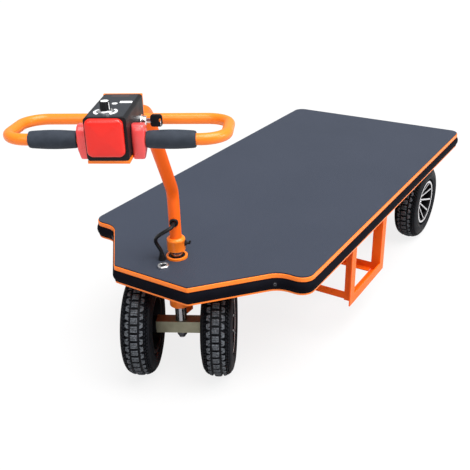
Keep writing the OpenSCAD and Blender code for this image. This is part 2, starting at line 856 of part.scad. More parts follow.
module on_wheel_axis() {
    rotate([-90, 0, 0]) children();
}

// Cross cuts of the tread from one place across it to another, a share of the pitch round
module cross_cuts(pitch_share, from_y, to_y, depth) {
    for (k = [0 : block_count - 1]) rotate([0, 0, 360 * (k + pitch_share) / block_count])
        translate([tyre_r - depth, -block_gap / 2, from_y]) cube([depth + over, block_gap, to_y - from_y]);
}

module tyre() {
    half_pitch_share = 0.5;
    color(rubber) on_wheel_axis() difference() {
        rotate_extrude() polygon([for (k = [0 : section_steps]) section(k)]);
        for (s = [-1, 1]) translate([0, 0, s * groove_y - groove_w / 2]) difference() {
            cylinder(r = tyre_r + over, h = groove_w);
            translate([0, 0, -over]) cylinder(r = tyre_r - groove_depth, h = groove_w + 2 * over);
        }
        cross_cuts(half_pitch_share, -groove_y, groove_y, block_depth);
        cross_cuts(0, groove_y, tyre_w, lug_depth);
        cross_cuts(0, -tyre_w, -groove_y, lug_depth);
    }
}

// Rim: a barrel with a lip at each end that follows the tyre's side wall, spokes that slope in to the hub,
// and the hub
module rim() {
    r = rim_d / 2;
    tip_r = r - rim_wall / 2;
    seat_y = bead_w / 2 + edge_gap;
    lip_y = bead_w / 2 + rim_lip_w;
    lean_y = seat_y + wall_lean() * rim_lip_h;
    half_section = [[r, seat_y], [r + rim_lip_h, lean_y], [r + rim_lip_h, lip_y], [r - rim_wall, lip_y]];
    color(alloy) on_wheel_axis() difference() {
        union() {
            rotate_extrude() polygon(concat(half_section,
                [for (k = [len(half_section) - 1 : -1 : 0]) [half_section[k][0], -half_section[k][1]]]));
            intersection() {
                rotate_extrude() polygon([[hub_r / 2, spoke_root_y - disc_t], [tip_r, spoke_tip_y - disc_t],
                    [tip_r, spoke_tip_y], [hub_r / 2, spoke_root_y]]);
                linear_extrude(spoke_tip_y + over) for (k = [0 : spoke_count - 1])
                    rotate([0, 0, 360 * k / spoke_count + spoke_turn])
                        polygon([[0, -spoke_root_w / 2], [r, -spoke_tip_w / 2], [r, spoke_tip_w / 2],
                            [0, spoke_root_w / 2]]);
            }
            rotate_extrude() polygon([[0, -hub_in], [hub_r, -hub_in], [hub_r, hub_out - hub_chamfer],
                [hub_r - hub_chamfer, hub_out], [0, hub_out]]);
        }
        translate([0, 0, -hub_in - over])
            cylinder(d = axle_d + 2 * run_gap, h = hub_in + hub_out - hub_floor + over);
    }
}

// Puts a wheel on its axle. The side is the sign of Y, and front wheels are on the steered axle
module wheel_place(s, front) {
    if (front) {
        steered() translate([0, s * front_track / 2, axle_z]) mirror([0, (1 - s) / 2, 0]) children();
    } else {
        translate([rear_axle_x, s * rear_track / 2, axle_z]) mirror([0, (1 - s) / 2, 0]) children();
    }
}

module tyre_front_left() { wheel_place(1, true) tyre(); }
module rim_front_left() { wheel_place(1, true) rim(); }
module tyre_front_right() { wheel_place(-1, true) tyre(); }
module rim_front_right() { wheel_place(-1, true) rim(); }
module tyre_rear_left() { wheel_place(1, false) tyre(); }
module rim_rear_left() { wheel_place(1, false) rim(); }
module tyre_rear_right() { wheel_place(-1, false) tyre(); }
module rim_rear_right() { wheel_place(-1, false) rim(); }

deck_mat();
deck_plate();
side_skirts();
rear_skirt();
front_skirt();
nose_skirts();
edge_bumper();
long_rails();
cross_members();
head_tube();
head_gusset();
bearing_seal();
cable_gland();
deck_button();
tray_posts();
tray_rails();
rear_axle();
axle_brackets();
drive_unit();
kingpin();
kingpin_nut();
front_beam();
clamp_collar();
clamp_screw();
column();
column_grommet();
control_cable();
head_bracket();
handle_loop();
grips();
head_housing();
stop_pad();
throttle_paddles();
panel_marks();
dial_knob();
key_switch();
tyre_front_left();
rim_front_left();
tyre_front_right();
rim_front_right();
tyre_rear_left();
rim_rear_left();
tyre_rear_right();
rim_rear_right();
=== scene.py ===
"""Looks of an electric platform trolley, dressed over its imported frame.

All pieces are in metres in the frame's own axes: +X forward to the tiller, +Y to the left, +Z up, with
the origin on the deck mat. Pieces of the steered assembly are drawn in a frame of their own, whose X
points along the tiller, and turned into place.
"""

import json
import logging
import math
from dataclasses import dataclass, field
from enum import Enum
from functools import cache
from typing import Sequence

import bmesh
import bpy
import numpy as np
from mathutils import Matrix, Vector


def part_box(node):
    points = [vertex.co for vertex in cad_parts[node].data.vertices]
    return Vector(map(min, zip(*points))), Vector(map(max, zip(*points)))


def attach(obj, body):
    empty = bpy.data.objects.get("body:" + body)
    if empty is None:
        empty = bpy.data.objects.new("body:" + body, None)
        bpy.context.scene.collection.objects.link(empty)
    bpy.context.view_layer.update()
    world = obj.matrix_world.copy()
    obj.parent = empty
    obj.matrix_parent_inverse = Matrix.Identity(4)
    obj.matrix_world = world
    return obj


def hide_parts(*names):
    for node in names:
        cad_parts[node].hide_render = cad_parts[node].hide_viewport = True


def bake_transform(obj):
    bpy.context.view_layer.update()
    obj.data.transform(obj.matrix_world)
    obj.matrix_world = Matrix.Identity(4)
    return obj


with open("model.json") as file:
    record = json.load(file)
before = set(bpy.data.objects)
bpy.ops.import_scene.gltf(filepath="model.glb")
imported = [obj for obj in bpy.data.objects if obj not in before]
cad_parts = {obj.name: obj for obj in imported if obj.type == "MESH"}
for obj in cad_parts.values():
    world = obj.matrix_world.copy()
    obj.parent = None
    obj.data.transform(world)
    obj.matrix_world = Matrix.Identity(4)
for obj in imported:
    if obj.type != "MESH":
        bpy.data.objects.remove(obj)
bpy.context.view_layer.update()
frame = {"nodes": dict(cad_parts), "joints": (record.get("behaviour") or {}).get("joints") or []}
LOG = logging.getLogger("trolley")
FULL_TURN = 2 * math.pi
NOISE_RANGE = (0.3, 0.7)
MERGE_GAP = 1e-6
WELD_GAP = 1e-5
BEVEL_ANGLE = 40.0

Colour = tuple[float, float, float]
Profile = Sequence[tuple[float, float]]


class Body(Enum):
    """The bodies of the frame that pieces ride on."""

    CHASSIS = "chassis"
    STEERING = "steering"
    FRONT_LEFT = "front_left_wheel"
    FRONT_RIGHT = "front_right_wheel"
    REAR_LEFT = "rear_left_wheel"
    REAR_RIGHT = "rear_right_wheel"


class Slot(Enum):
    """The record's material slots."""

    ORANGE_PAINT = "orange_paint"
    MAT_RUBBER = "mat_rubber"
    BUMPER_RUBBER = "bumper_rubber"
    BLACK_RUBBER = "black_rubber"
    GRIP_RUBBER = "grip_rubber"
    TYRE_RUBBER = "tyre_rubber"
    WHEEL_ALLOY = "wheel_alloy"
    BRIGHT_STEEL = "bright_steel"
    OLIVE_STEEL = "olive_steel"
    BLACK_PAINT = "black_paint"
    BLACK_PLASTIC = "black_plastic"
    RED_PLASTIC = "red_plastic"
    WHITE_PRINT = "white_print"
    CHROME_CAP = "chrome_cap"


class Graph:
    """A material's node tree, with short ways to add nodes to its one shader."""

    def __init__(self, name: str) -> None:
        """Starts an empty material.

        Args:
            name: The material's name.
        """
        self.material = bpy.data.materials.new(name)
        self.material.use_nodes = True
        self.tree = self.material.node_tree
        self.tree.nodes.clear()
        self.shader = self.add("ShaderNodeBsdfPrincipled")
        output = self.add("ShaderNodeOutputMaterial")
        self.tree.links.new(self.shader.outputs["BSDF"], output.inputs["Surface"])
        self.places = self.add("ShaderNodeTexCoord").outputs["Object"]

    def add(self, kind: str, inputs: dict | None = None, **settings: object) -> bpy.types.Node:
        """Adds a node.

        Args:
            kind: The node's type name.
            inputs: Values or sockets for its inputs, by name or number.
            settings: Its properties.

        Returns:
            The node.
        """
        node = self.tree.nodes.new(kind)
        for key, value in settings.items():
            setattr(node, key, value)
        for key, value in (inputs or {}).items():
            if isinstance(value, bpy.types.NodeSocket):
                self.tree.links.new(value, node.inputs[key])
            else:
                node.inputs[key].default_value = value
        return node

    def stretched(self, scale: Sequence[float]) -> bpy.types.NodeSocket:
        """Object coordinates, scaled along each axis."""
        node = self.add("ShaderNodeMapping", {"Vector": self.places, "Scale": scale})
        return node.outputs["Vector"]

    def noise(self, scale: float, detail: float = 3.0,
              places: bpy.types.NodeSocket | None = None) -> bpy.types.NodeSocket:
        """Cloudy noise from 0 to 1.

        Args:
            scale: How many clouds there are to a metre.
            detail: How many finer layers it has.
            places: The coordinates, or None for the object's own.

        Returns:
            The noise's socket.
        """
        node = self.add("ShaderNodeTexNoise",
                        {"Vector": places or self.places, "Scale": scale, "Detail": detail})
        return node.outputs[0]

    def cells(self, scale: float, randomness: float) -> bpy.types.NodeSocket:
        """Distance from the middle of round cells.

        Args:
            scale: How many cells there are to a metre.
            randomness: How far they stray from a grid, from 0 to 1.

        Returns:
            The distance's socket.
        """
        node = self.add("ShaderNodeTexVoronoi",
                        {"Vector": self.places, "Scale": scale, "Randomness": randomness})
        return node.outputs["Distance"]

    def span(self, source: bpy.types.NodeSocket, found: tuple[float, float],
             wanted: tuple[float, float]) -> bpy.types.NodeSocket:
        """Maps one range of values onto another.

        Args:
            source: The values' socket.
            found: The range they come in.
            wanted: The range they are mapped to.

        Returns:
            The mapped values' socket.
        """
        node = self.add("ShaderNodeMapRange", {
            "Value": source, "From Min": found[0], "From Max": found[1],
            "To Min": wanted[0], "To Max": wanted[1]})
        return node.outputs["Result"]

    def mixed(self, first: Colour, second: Colour, share: bpy.types.NodeSocket) -> bpy.types.NodeSocket:
        """A colour between two.

        Args:
            first: The first colour.
            second: The second colour.
            share: The second one's share.

        Returns:
            The colour's socket.
        """
        node = self.add("ShaderNodeMix", {"Factor": share}, data_type="RGBA")
        node.inputs[6].default_value = (*first, 1.0)
        node.inputs[7].default_value = (*second, 1.0)
        return node.outputs[2]

    def bump(self, height: bpy.types.NodeSocket, depth: float,
             over: bpy.types.NodeSocket | None = None) -> bpy.types.NodeSocket:
        """A bumped normal.

        Args:
            height: The height's socket, from 0 to 1.
            depth: The height of 1, in metres.
            over: A normal that this bump lies on.

        Returns:
            The normal's socket.
        """
        inputs = {"Height": height, "Distance": depth, "Strength": 1.0}
        if over is not None:
            inputs["Normal"] = over
        return self.add("ShaderNodeBump", inputs).outputs["Normal"]

    def dress(self, **sockets: object) -> None:
        """Sets or links the shader's own sockets.

        Args:
            sockets: Values or sockets by name, with _ for a space.
        """
        for key, value in sockets.items():
            socket = self.shader.inputs[key.replace("_", " ")]
            if isinstance(value, bpy.types.NodeSocket):
                self.tree.links.new(value, socket)
            else:
                socket.default_value = value


@dataclass(frozen=True)
class Finish:
    """A surface finish: two colours that it wanders between, and its gloss and grain.

    Attributes:
        name: The material's name.
        slot: The record's slot that it stands for.
        base: The main colour.
        shade: The colour of its blotches.
        roughness: The lowest and highest roughness.
        grain: Grains to a metre, and their depth in metres.
        blotches: Blotches to a metre.
        shine: Level of its mirror part.
    """

    name: str
    slot: Slot
    base: Colour
    shade: Colour
    roughness: tuple[float, float] = (0.4, 0.55)
    grain: tuple[float, float] = (900.0, 0.0001)
    blotches: float = 9.0
    shine: float = 0.5

    @cache
    def material(self) -> bpy.types.Material:
        """The finish as a material, made once.

        Returns:
            The material.
        """
        graph = Graph(self.name)
        blotch = graph.span(graph.noise(self.blotches, detail=4.0), NOISE_RANGE, (0.0, 1.0))
        fine = graph.noise(self.grain[0], detail=2.0)
        graph.dress(Base_Color=graph.mixed(self.base, self.shade, blotch),
                    Roughness=graph.span(blotch, (0.0, 1.0), self.roughness),
                    Normal=self.relief(graph, fine))
        self.gloss(graph)
        return graph.material

    def relief(self, graph: Graph, fine: bpy.types.NodeSocket) -> bpy.types.NodeSocket:
        """The surface's normal, from its fine grain."""
        return graph.bump(fine, self.grain[1])

    def gloss(self, graph: Graph) -> None:
        """Sets the shader's constants."""
        graph.dress(Specular_IOR_Level=self.shine)


@dataclass(frozen=True)
class PowderCoat(Finish):
    """Sprayed paint: a clear, slightly wavy skin."""

    coat: float = 0.35
    coat_roughness: float = 0.18
    wave: tuple[float, float] = (160.0, 0.00012)

    def relief(self, graph: Graph, fine: bpy.types.NodeSocket) -> bpy.types.NodeSocket:
        """Orange peel under a fine grain."""
        peel = graph.bump(graph.noise(self.wave[0], detail=1.0), self.wave[1])
        return graph.bump(fine, self.grain[1], peel)

    def gloss(self, graph: Graph) -> None:
        """A thin clear coat."""
        super().gloss(graph)
        graph.dress(Coat_Weight=self.coat, Coat_Roughness=self.coat_roughness)


@dataclass(frozen=True)
class PimpledMat(Finish):
    """Anti-slip mat: round pimples in rows."""

    pimples: float = 190.0
    pimple_h: float = 0.0009
    pimple_edge: tuple[float, float] = (0.25, 0.45)

    def relief(self, graph: Graph, fine: bpy.types.NodeSocket) -> bpy.types.NodeSocket:
        """Pimples in rows, over a fine grain."""
        bead = graph.span(graph.cells(self.pimples, 0.0), self.pimple_edge, (1.0, 0.0))
        return graph.bump(bead, self.pimple_h, graph.bump(fine, self.grain[1]))


@dataclass(frozen=True)
class BareMetal(Finish):
    """Bare or plated metal, with tool marks along one axis."""

    marks: tuple[float, float, float] = (1.0, 1.0, 30.0)
    mark_scale: float = 60.0

    def relief(self, graph: Graph, fine: bpy.types.NodeSocket) -> bpy.types.NodeSocket:
        """Tool marks, stretched across their axis."""
        lines = graph.noise(self.mark_scale, detail=2.0, places=graph.stretched(self.marks))
        return graph.bump(lines, self.grain[1], graph.bump(fine, self.grain[1]))

    def gloss(self, graph: Graph) -> None:
        """All metal."""
        graph.dress(Metallic=1.0)


@dataclass(frozen=True)
class GlossPlastic(Finish):
    """Moulded plastic with a shine."""

    coat: float = 0.5
    coat_roughness: float = 0.1

    def gloss(self, graph: Graph) -> None:
        """A polished skin."""
        super().gloss(graph)
        graph.dress(Coat_Weight=self.coat, Coat_Roughness=self.coat_roughness)


ORANGE = PowderCoat("orange_powder_coat", Slot.ORANGE_PAINT, (0.90, 0.196, 0.011), (0.86, 0.178, 0.009),
                    roughness=(0.32, 0.42), grain=(1500.0, 0.00003), blotches=5.0, shine=0.3, coat=0.15)
# A redder, darker copy of the orange powder coat: painted shade for the parts that stand in shade under the
# deck, and for the column.
SHADED_ORANGE = PowderCoat("shaded_orange_coat", Slot.ORANGE_PAINT, (0.88, 0.126, 0.007), (0.84, 0.114, 0.006),
                         roughness=(0.40, 0.50), grain=(1500.0, 0.00003), blotches=5.0, shine=0.12,
                         coat=0.05)
MAT = PimpledMat("pimpled_mat", Slot.MAT_RUBBER, (0.029, 0.036, 0.054), (0.034, 0.041, 0.060),
                 roughness=(0.62, 0.75), grain=(700.0, 0.0001), blotches=3.0, shine=0.2)
STRIP = Finish("bumper_strip", Slot.BUMPER_RUBBER, (0.0035, 0.0035, 0.0060), (0.0060, 0.0060, 0.0090),
               roughness=(0.62, 0.78), grain=(500.0, 0.00006), blotches=14.0, shine=0.02)
SEAL = Finish("black_seal", Slot.BLACK_RUBBER, (0.004, 0.004, 0.005), (0.009, 0.009, 0.010),
              roughness=(0.35, 0.50), grain=(800.0, 0.00005), blotches=40.0, shine=0.2)
FOAM = Finish("foam_grip", Slot.GRIP_RUBBER, (0.018, 0.023, 0.033), (0.030, 0.037, 0.050),
              roughness=(0.62, 0.78), grain=(1100.0, 0.00035), blotches=60.0, shine=0.2)
TREAD = Finish("tread_rubber", Slot.TYRE_RUBBER, (0.018, 0.020, 0.024), (0.120, 0.130, 0.145),
               roughness=(0.60, 0.78), grain=(420.0, 0.0006), blotches=210.0, shine=0.15)
# Near-black side-wall rubber; on the tread it also lines the grooves and the ends of the blocks as painted
# shade in the gaps.
WALL_AND_GAP_SHADE = Finish("side_wall_rubber_and_gap_shade", Slot.TYRE_RUBBER, (0.0022, 0.0026, 0.0038), (0.0060, 0.0068, 0.0095),
              roughness=(0.45, 0.62), grain=(380.0, 0.0004), blotches=40.0, shine=0.10)
ALLOY = BareMetal("machined_alloy", Slot.WHEEL_ALLOY, (0.80, 0.80, 0.81), (0.70, 0.70, 0.72),
                  roughness=(0.22, 0.34), grain=(900.0, 0.00003), blotches=25.0)
POCKET = Finish("rim_pocket_paint", Slot.WHEEL_ALLOY, (0.0035, 0.0035, 0.0045), (0.0070, 0.0070, 0.0085),
                roughness=(0.35, 0.5), grain=(900.0, 0.00003), shine=0.12)
STEEL = BareMetal("turned_steel", Slot.BRIGHT_STEEL, (0.34, 0.34, 0.36), (0.26, 0.26, 0.28),
                  roughness=(0.16, 0.28), grain=(900.0, 0.00002), blotches=30.0)
OLIVE = BareMetal("passivated_bar", Slot.OLIVE_STEEL, (0.33, 0.32, 0.24), (0.26, 0.25, 0.18),
                  roughness=(0.46, 0.60), grain=(500.0, 0.00006), blotches=22.0)
SCREW = BareMetal("black_zinc_screw", Slot.BLACK_PAINT, (0.10, 0.10, 0.11), (0.06, 0.06, 0.07),
                  roughness=(0.35, 0.5), grain=(1200.0, 0.00003), blotches=80.0)
BLACK_PAINT = PowderCoat("satin_black", Slot.BLACK_PAINT, (0.016, 0.016, 0.018), (0.024, 0.024, 0.026),
                         roughness=(0.40, 0.52), grain=(900.0, 0.00004), coat=0.1)
PLASTIC = Finish("grained_plastic", Slot.BLACK_PLASTIC, (0.0045, 0.0045, 0.0055), (0.0080, 0.0080, 0.0095),
                 roughness=(0.42, 0.55), grain=(1300.0, 0.00012), blotches=30.0, shine=0.18)
PANEL = Finish("panel_film", Slot.BLACK_PLASTIC, (0.018, 0.021, 0.026), (0.024, 0.027, 0.033),
               roughness=(0.40, 0.52), grain=(1600.0, 0.00006), blotches=26.0, shine=0.2)
GLASS = GlossPlastic("dark_display", Slot.BLACK_PLASTIC, (0.030, 0.004, 0.006), (0.050, 0.006, 0.008),
                     roughness=(0.12, 0.20), grain=(300.0, 0.00001), blotches=60.0)
RED = GlossPlastic("red_moulding", Slot.RED_PLASTIC, (0.68, 0.012, 0.006), (0.73, 0.017, 0.009),
                   roughness=(0.30, 0.40), grain=(700.0, 0.00003), blotches=18.0, shine=0.35, coat=0.15)
# A lighter, pinker copy of the red moulding: a painted sheen on the glossy paddles.
SHEEN_RED = GlossPlastic("red_moulding_painted_sheen", Slot.RED_PLASTIC, (0.74, 0.046, 0.046), (0.79, 0.064, 0.062),
                    roughness=(0.22, 0.32), grain=(700.0, 0.00003), blotches=18.0, coat=0.35)
WHITE = GlossPlastic("white_print", Slot.WHITE_PRINT, (0.82, 0.82, 0.82), (0.76, 0.76, 0.77),
                     roughness=(0.35, 0.45), grain=(900.0, 0.00002), coat=0.1)
CHROME = BareMetal("bright_plate", Slot.CHROME_CAP, (0.84, 0.84, 0.85), (0.72, 0.72, 0.74),
                   roughness=(0.20, 0.32), grain=(900.0, 0.00001), blotches=50.0)


@dataclass
class Draft:
    """A mesh in the making, with the number of the finish on each face."""

    points: list[Vector] = field(default_factory=list)
    faces: list[tuple[int, ...]] = field(default_factory=list)
    coats: list[int] = field(default_factory=list)

    def skin(self, rows: np.ndarray, closed: bool = True, caps: tuple[bool, bool] = (False, False),
             matrix: Matrix = Matrix.Identity(4), coat: int | Sequence[int] = 0, loop: bool = False) -> None:
        """Stretches faces over rows of points.

        Args:
            rows: The points, as an array of rows by columns by three.
            closed: Whether the last column joins the first.
            caps: Whether a face closes the first row and the last.
            matrix: Where the rows are put.
            coat: The finish's number, or one for each strip between two rows.
            loop: Whether the last row joins the first.
        """
        count, width = rows.shape[:2]
        start = len(self.points)
        self.points += [matrix @ Vector(p) for p in rows.reshape(-1, 3)]
        for i in range(count if loop else count - 1):
            strip = coat if isinstance(coat, int) else coat[i]
            near, far = start + i * width, start + (i + 1) % count * width
            for k in range(width if closed else width - 1):
                after = (k + 1) % width
                self.faces.append((near + k, near + after, far + after, far + k))
                self.coats.append(strip)
        for wanted, row, strip in ((caps[0], 0, 0), (caps[1], count - 1, -1)):
            if wanted:
                self.faces.append(tuple(range(start + row * width, start + (row + 1) * width)))
                self.coats.append(coat if isinstance(coat, int) else coat[strip])

    def lathe(self, profile: Profile, steps: int, matrix: Matrix = Matrix.Identity(4),
              coat: int | Sequence[int] = 0, loop: bool = False) -> None:
        """Turns a profile about Z.

        Args:
            profile: Radius and height of its points. Open ends are closed by a face.
            steps: How many steps a turn has.
            matrix: Where the turned shape is put.
            coat: The finish's number, or one for each strip of the profile.
            loop: Whether the profile closes on itself, as a ring's does.
        """
        turn = np.arange(steps) * FULL_TURN / steps
        ring = np.stack([np.cos(turn), np.sin(turn), np.zeros(steps)], axis=1)
        rows = np.array([ring * r + (0.0, 0.0, z) for r, z in profile])
        self.skin(rows, caps=(not loop, not loop), matrix=matrix, coat=coat, loop=loop)

    def prism(self, outline: np.ndarray, levels: Sequence[tuple[float, float]], matrix: Matrix,
              coat: int | Sequence[int] = 0) -> None:
        """Draws an outline up along Z, grown or shrunk at each level.

        Args:
            outline: Its points on X and Y.
            levels: Height and share of full size at each level.
            matrix: Where it is put.
            coat: The finish's number, or one for each strip between levels.
        """
        rows = np.array([[(x * share, y * share, z) for x, y in outline] for z, share in levels])
        self.skin(rows, caps=(True, True), matrix=matrix, coat=coat)

    def tube(self, path: np.ndarray, radius: float, sides: int, coat: int = 0) -> None:
        """Sweeps a circle along a path, without twist.

        Args:
            path: The path's points.
            radius: The tube's radius.
            sides: How many sides it has.
            coat: The finish's number.
        """
        ways = np.gradient(path, axis=0)
        ways /= np.linalg.norm(ways, axis=1)[:, None]
        turn = np.arange(sides) * FULL_TURN / sides
        aside = np.cross(ways[0], (0.0, 0.0, 1.0))
        rows = []
        for point, way in zip(path, ways):
            aside = aside - way * (aside @ way)
            aside /= np.linalg.norm(aside)
            other = np.cross(way, aside)
            rows.append(point + radius * (np.cos(turn)[:, None] * aside + np.sin(turn)[:, None] * other))
        self.skin(np.array(rows), caps=(True, True), coat=coat)

    def piece(self, name: str, finishes: Sequence[Finish], body: Body | None, replaces: Sequence[str] = (),
              bevel: float = 0.0, crease: float = 35.0) -> bpy.types.Object:
        """Makes the object, dresses it and lets it ride.

        Args:
            name: The piece's name.
            finishes: Its finishes, by the numbers on the faces.
            body: The body that it rides on, or None, where it is left on no body.
            replaces: The frame's nodes that it stands for.
            bevel: Width of its rounded edges, or 0 for none.
            crease: The angle, in degrees, from which an edge is sharp.

        Returns:
            The object.
        """
        mesh = bpy.data.meshes.new(name)
        mesh.from_pydata(self.points, [], self.faces)
        for finish in finishes:
            mesh.materials.append(finish.material())
        mesh.polygons.foreach_set("material_index", self.coats)
        work = bmesh.new()
        work.from_mesh(mesh)
        bmesh.ops.remove_doubles(work, verts=work.verts, dist=MERGE_GAP)
        bmesh.ops.recalc_face_normals(work, faces=work.faces)
        work.to_mesh(mesh)
        work.free()
        mesh.shade_smooth()
        mesh.set_sharp_from_angle(angle=math.radians(crease))
        made = bpy.data.objects.new(name, mesh)
        bpy.context.scene.collection.objects.link(made)
        if bevel:
            soften(made, bevel)
        if replaces:
            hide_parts(*replaces)
        if body is not None:
            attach(made, body.value)
        LOG.info("%s: %d faces on %s", name, len(mesh.polygons), body.value if body else "two bodies")
        return made


def soften(piece: bpy.types.Object, width: float) -> None:
    """Rounds a piece's sharp edges, with modifiers that leave its own mesh as it is.

    Args:
        piece: The piece.
        width: Width of the rounded edge.
    """
    piece.modifiers.new("joined", "WELD").merge_threshold = WELD_GAP
    edge = piece.modifiers.new("edges", "BEVEL")
    edge.width = width
    edge.segments = 2
    edge.limit_method = "ANGLE"
    edge.angle_limit = math.radians(BEVEL_ANGLE)
    piece.modifiers.new("shading", "WEIGHTED_NORMAL").keep_sharp = True


def dress_node(name: str, finish: Finish, bevel: float = 0.0) -> None:
    """Gives a node of the frame its finish.

    Args:
        name: The node.
        finish: Its finish.
        bevel: Width of its rounded edges, or 0 for none.
    """
    node = frame["nodes"][name]
    node.data.materials.clear()
    node.data.materials.append(finish.material())
    if bevel:
        soften(node, bevel)
    LOG.info("%s: dressed in %s", name, finish.name)


def joint(name: str) -> dict:
    """The frame's joint of that name."""
    return next(j for j in frame["joints"] if j["name"] == name)


def steered() -> Matrix:
    """The steered assembly's own frame: its X points along the tiller, its origin is on the kingpin.

    Returns:
        The frame's matrix.
    """
    axle = joint("front_left_spin")["axis"]
    angle = math.atan2(-axle[0], axle[1])
    return Matrix.Translation(joint("steer")["pos_m"]) @ Matrix.Rotation(angle, 4, "Z")


STEERED = steered()


def facing(place: Sequence[float], way: Sequence[float]) -> Matrix:
    """A frame at a place whose Z points a given way.

    Args:
        place: The place.
        way: The direction of its Z.

    Returns:
        The frame's matrix.
    """
    return Matrix.Translation(place) @ Vector(way).to_track_quat("Z", "Y").to_matrix().to_4x4()


def around(place: Matrix, count: int, start: float = 0.0) -> list[Matrix]:
    """A frame turned about its Z, in even steps.

    Args:
        place: The frame.
        count: How many steps a turn has.
        start: The first one's angle.

    Returns:
        The turned frames.
    """
    return [place @ Matrix.Rotation(start + FULL_TURN * k / count, 4, "Z") for k in range(count)]


def upright(name: str) -> tuple[Matrix, float, float]:
    """Where a round node stands, and its size.

    Args:
        name: The node.

    Returns:
        Its seat, radius and height.
    """
    low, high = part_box(name)
    middle = (low + high) / 2
    return Matrix.Translation((middle.x, middle.y, low.z)), (high.x - low.x) / 2, high.z - low.z


def ring_points(width: float, height: float, radius: float, steps: int = 6) -> np.ndarray:
    """A round-cornered rectangle's points, about its middle.

    Args:
        width: Its size along X.
        height: Its size along Y.
        radius: Its corners' radius.
        steps: How many steps a corner has.

    Returns:
        The points, anticlockwise.
    """
    points = []
    for quarter, (sx, sy) in enumerate(((1, 1), (-1, 1), (-1, -1), (1, -1))):
        for k in range(steps + 1):
            a = math.pi / 2 * (quarter + k / steps)
            points.append((sx * (width / 2 - radius) + radius * math.cos(a),
                           sy * (height / 2 - radius) + radius * math.sin(a)))
    return np.array(points)


def arc_points(radius: float, start: float, end: float, steps: int) -> list[tuple[float, float]]:
    """Points of an arc about the origin, from one angle to another in degrees."""
    turn = np.radians(np.linspace(start, end, steps + 1))
    return list(zip(radius * np.cos(turn), radius * np.sin(turn)))


def hexagon(across: float) -> np.ndarray:
    """A hexagon's corners, by its width across flats."""
    return np.array(arc_points(across / math.sqrt(3), 0.0, 300.0, 5))


class Head(Enum):
    """Kinds of screw head."""

    HEXAGON = "hexagon"
    PAN = "pan"


@dataclass(frozen=True)
class Fastener:
    """A screw or bolt head: a hexagon on its washer, or a low round head with a socket.

    Attributes:
        across: Its width, across flats where it has them.
        height: Its height.
        head: Its kind.
    """

    across: float
    height: float
    head: Head = Head.HEXAGON

    def build(self, draft: Draft, place: Matrix, coat: int = 0) -> None:
        """Adds the head.

        Args:
            draft: The mesh to add it to.
            place: Its seat, with Z outward.
            coat: The finish's number.
        """
        w, h = self.across, self.height
        if self.head is Head.PAN:
            r = w / 2
            draft.lathe([(r, 0.0), (r, h * 0.35), (r * 0.88, h * 0.75), (r * 0.62, h), (r * 0.42, h),
                         (r * 0.38, h * 0.4)], 20, place, coat)
            return
        washer = h / 4
        draft.lathe([(w * 0.78, 0.0), (w * 0.78, washer * 0.7), (w * 0.72, washer)], 24, place, coat)
        draft.prism(hexagon(w), [(washer, 1.0), (h * 0.8, 1.0), (h, 0.86)], place, coat)


@dataclass(frozen=True)
class Plate:
    """A flat piece with rounded corners.

    Attributes:
        size: Its size along X and Y.
        corner: Its corners' radius.
        levels: Its heights, with their share of full size.
        steps: How many steps a corner has.
    """

    size: tuple[float, float]
    corner: float
    levels: Profile
    steps: int = 6

    def build(self, draft: Draft, place: Matrix, coat: int = 0) -> None:
        """Adds the plate to a draft at a place, in the finish of that number."""
        draft.prism(ring_points(*self.size, self.corner, self.steps), self.levels, place, coat)


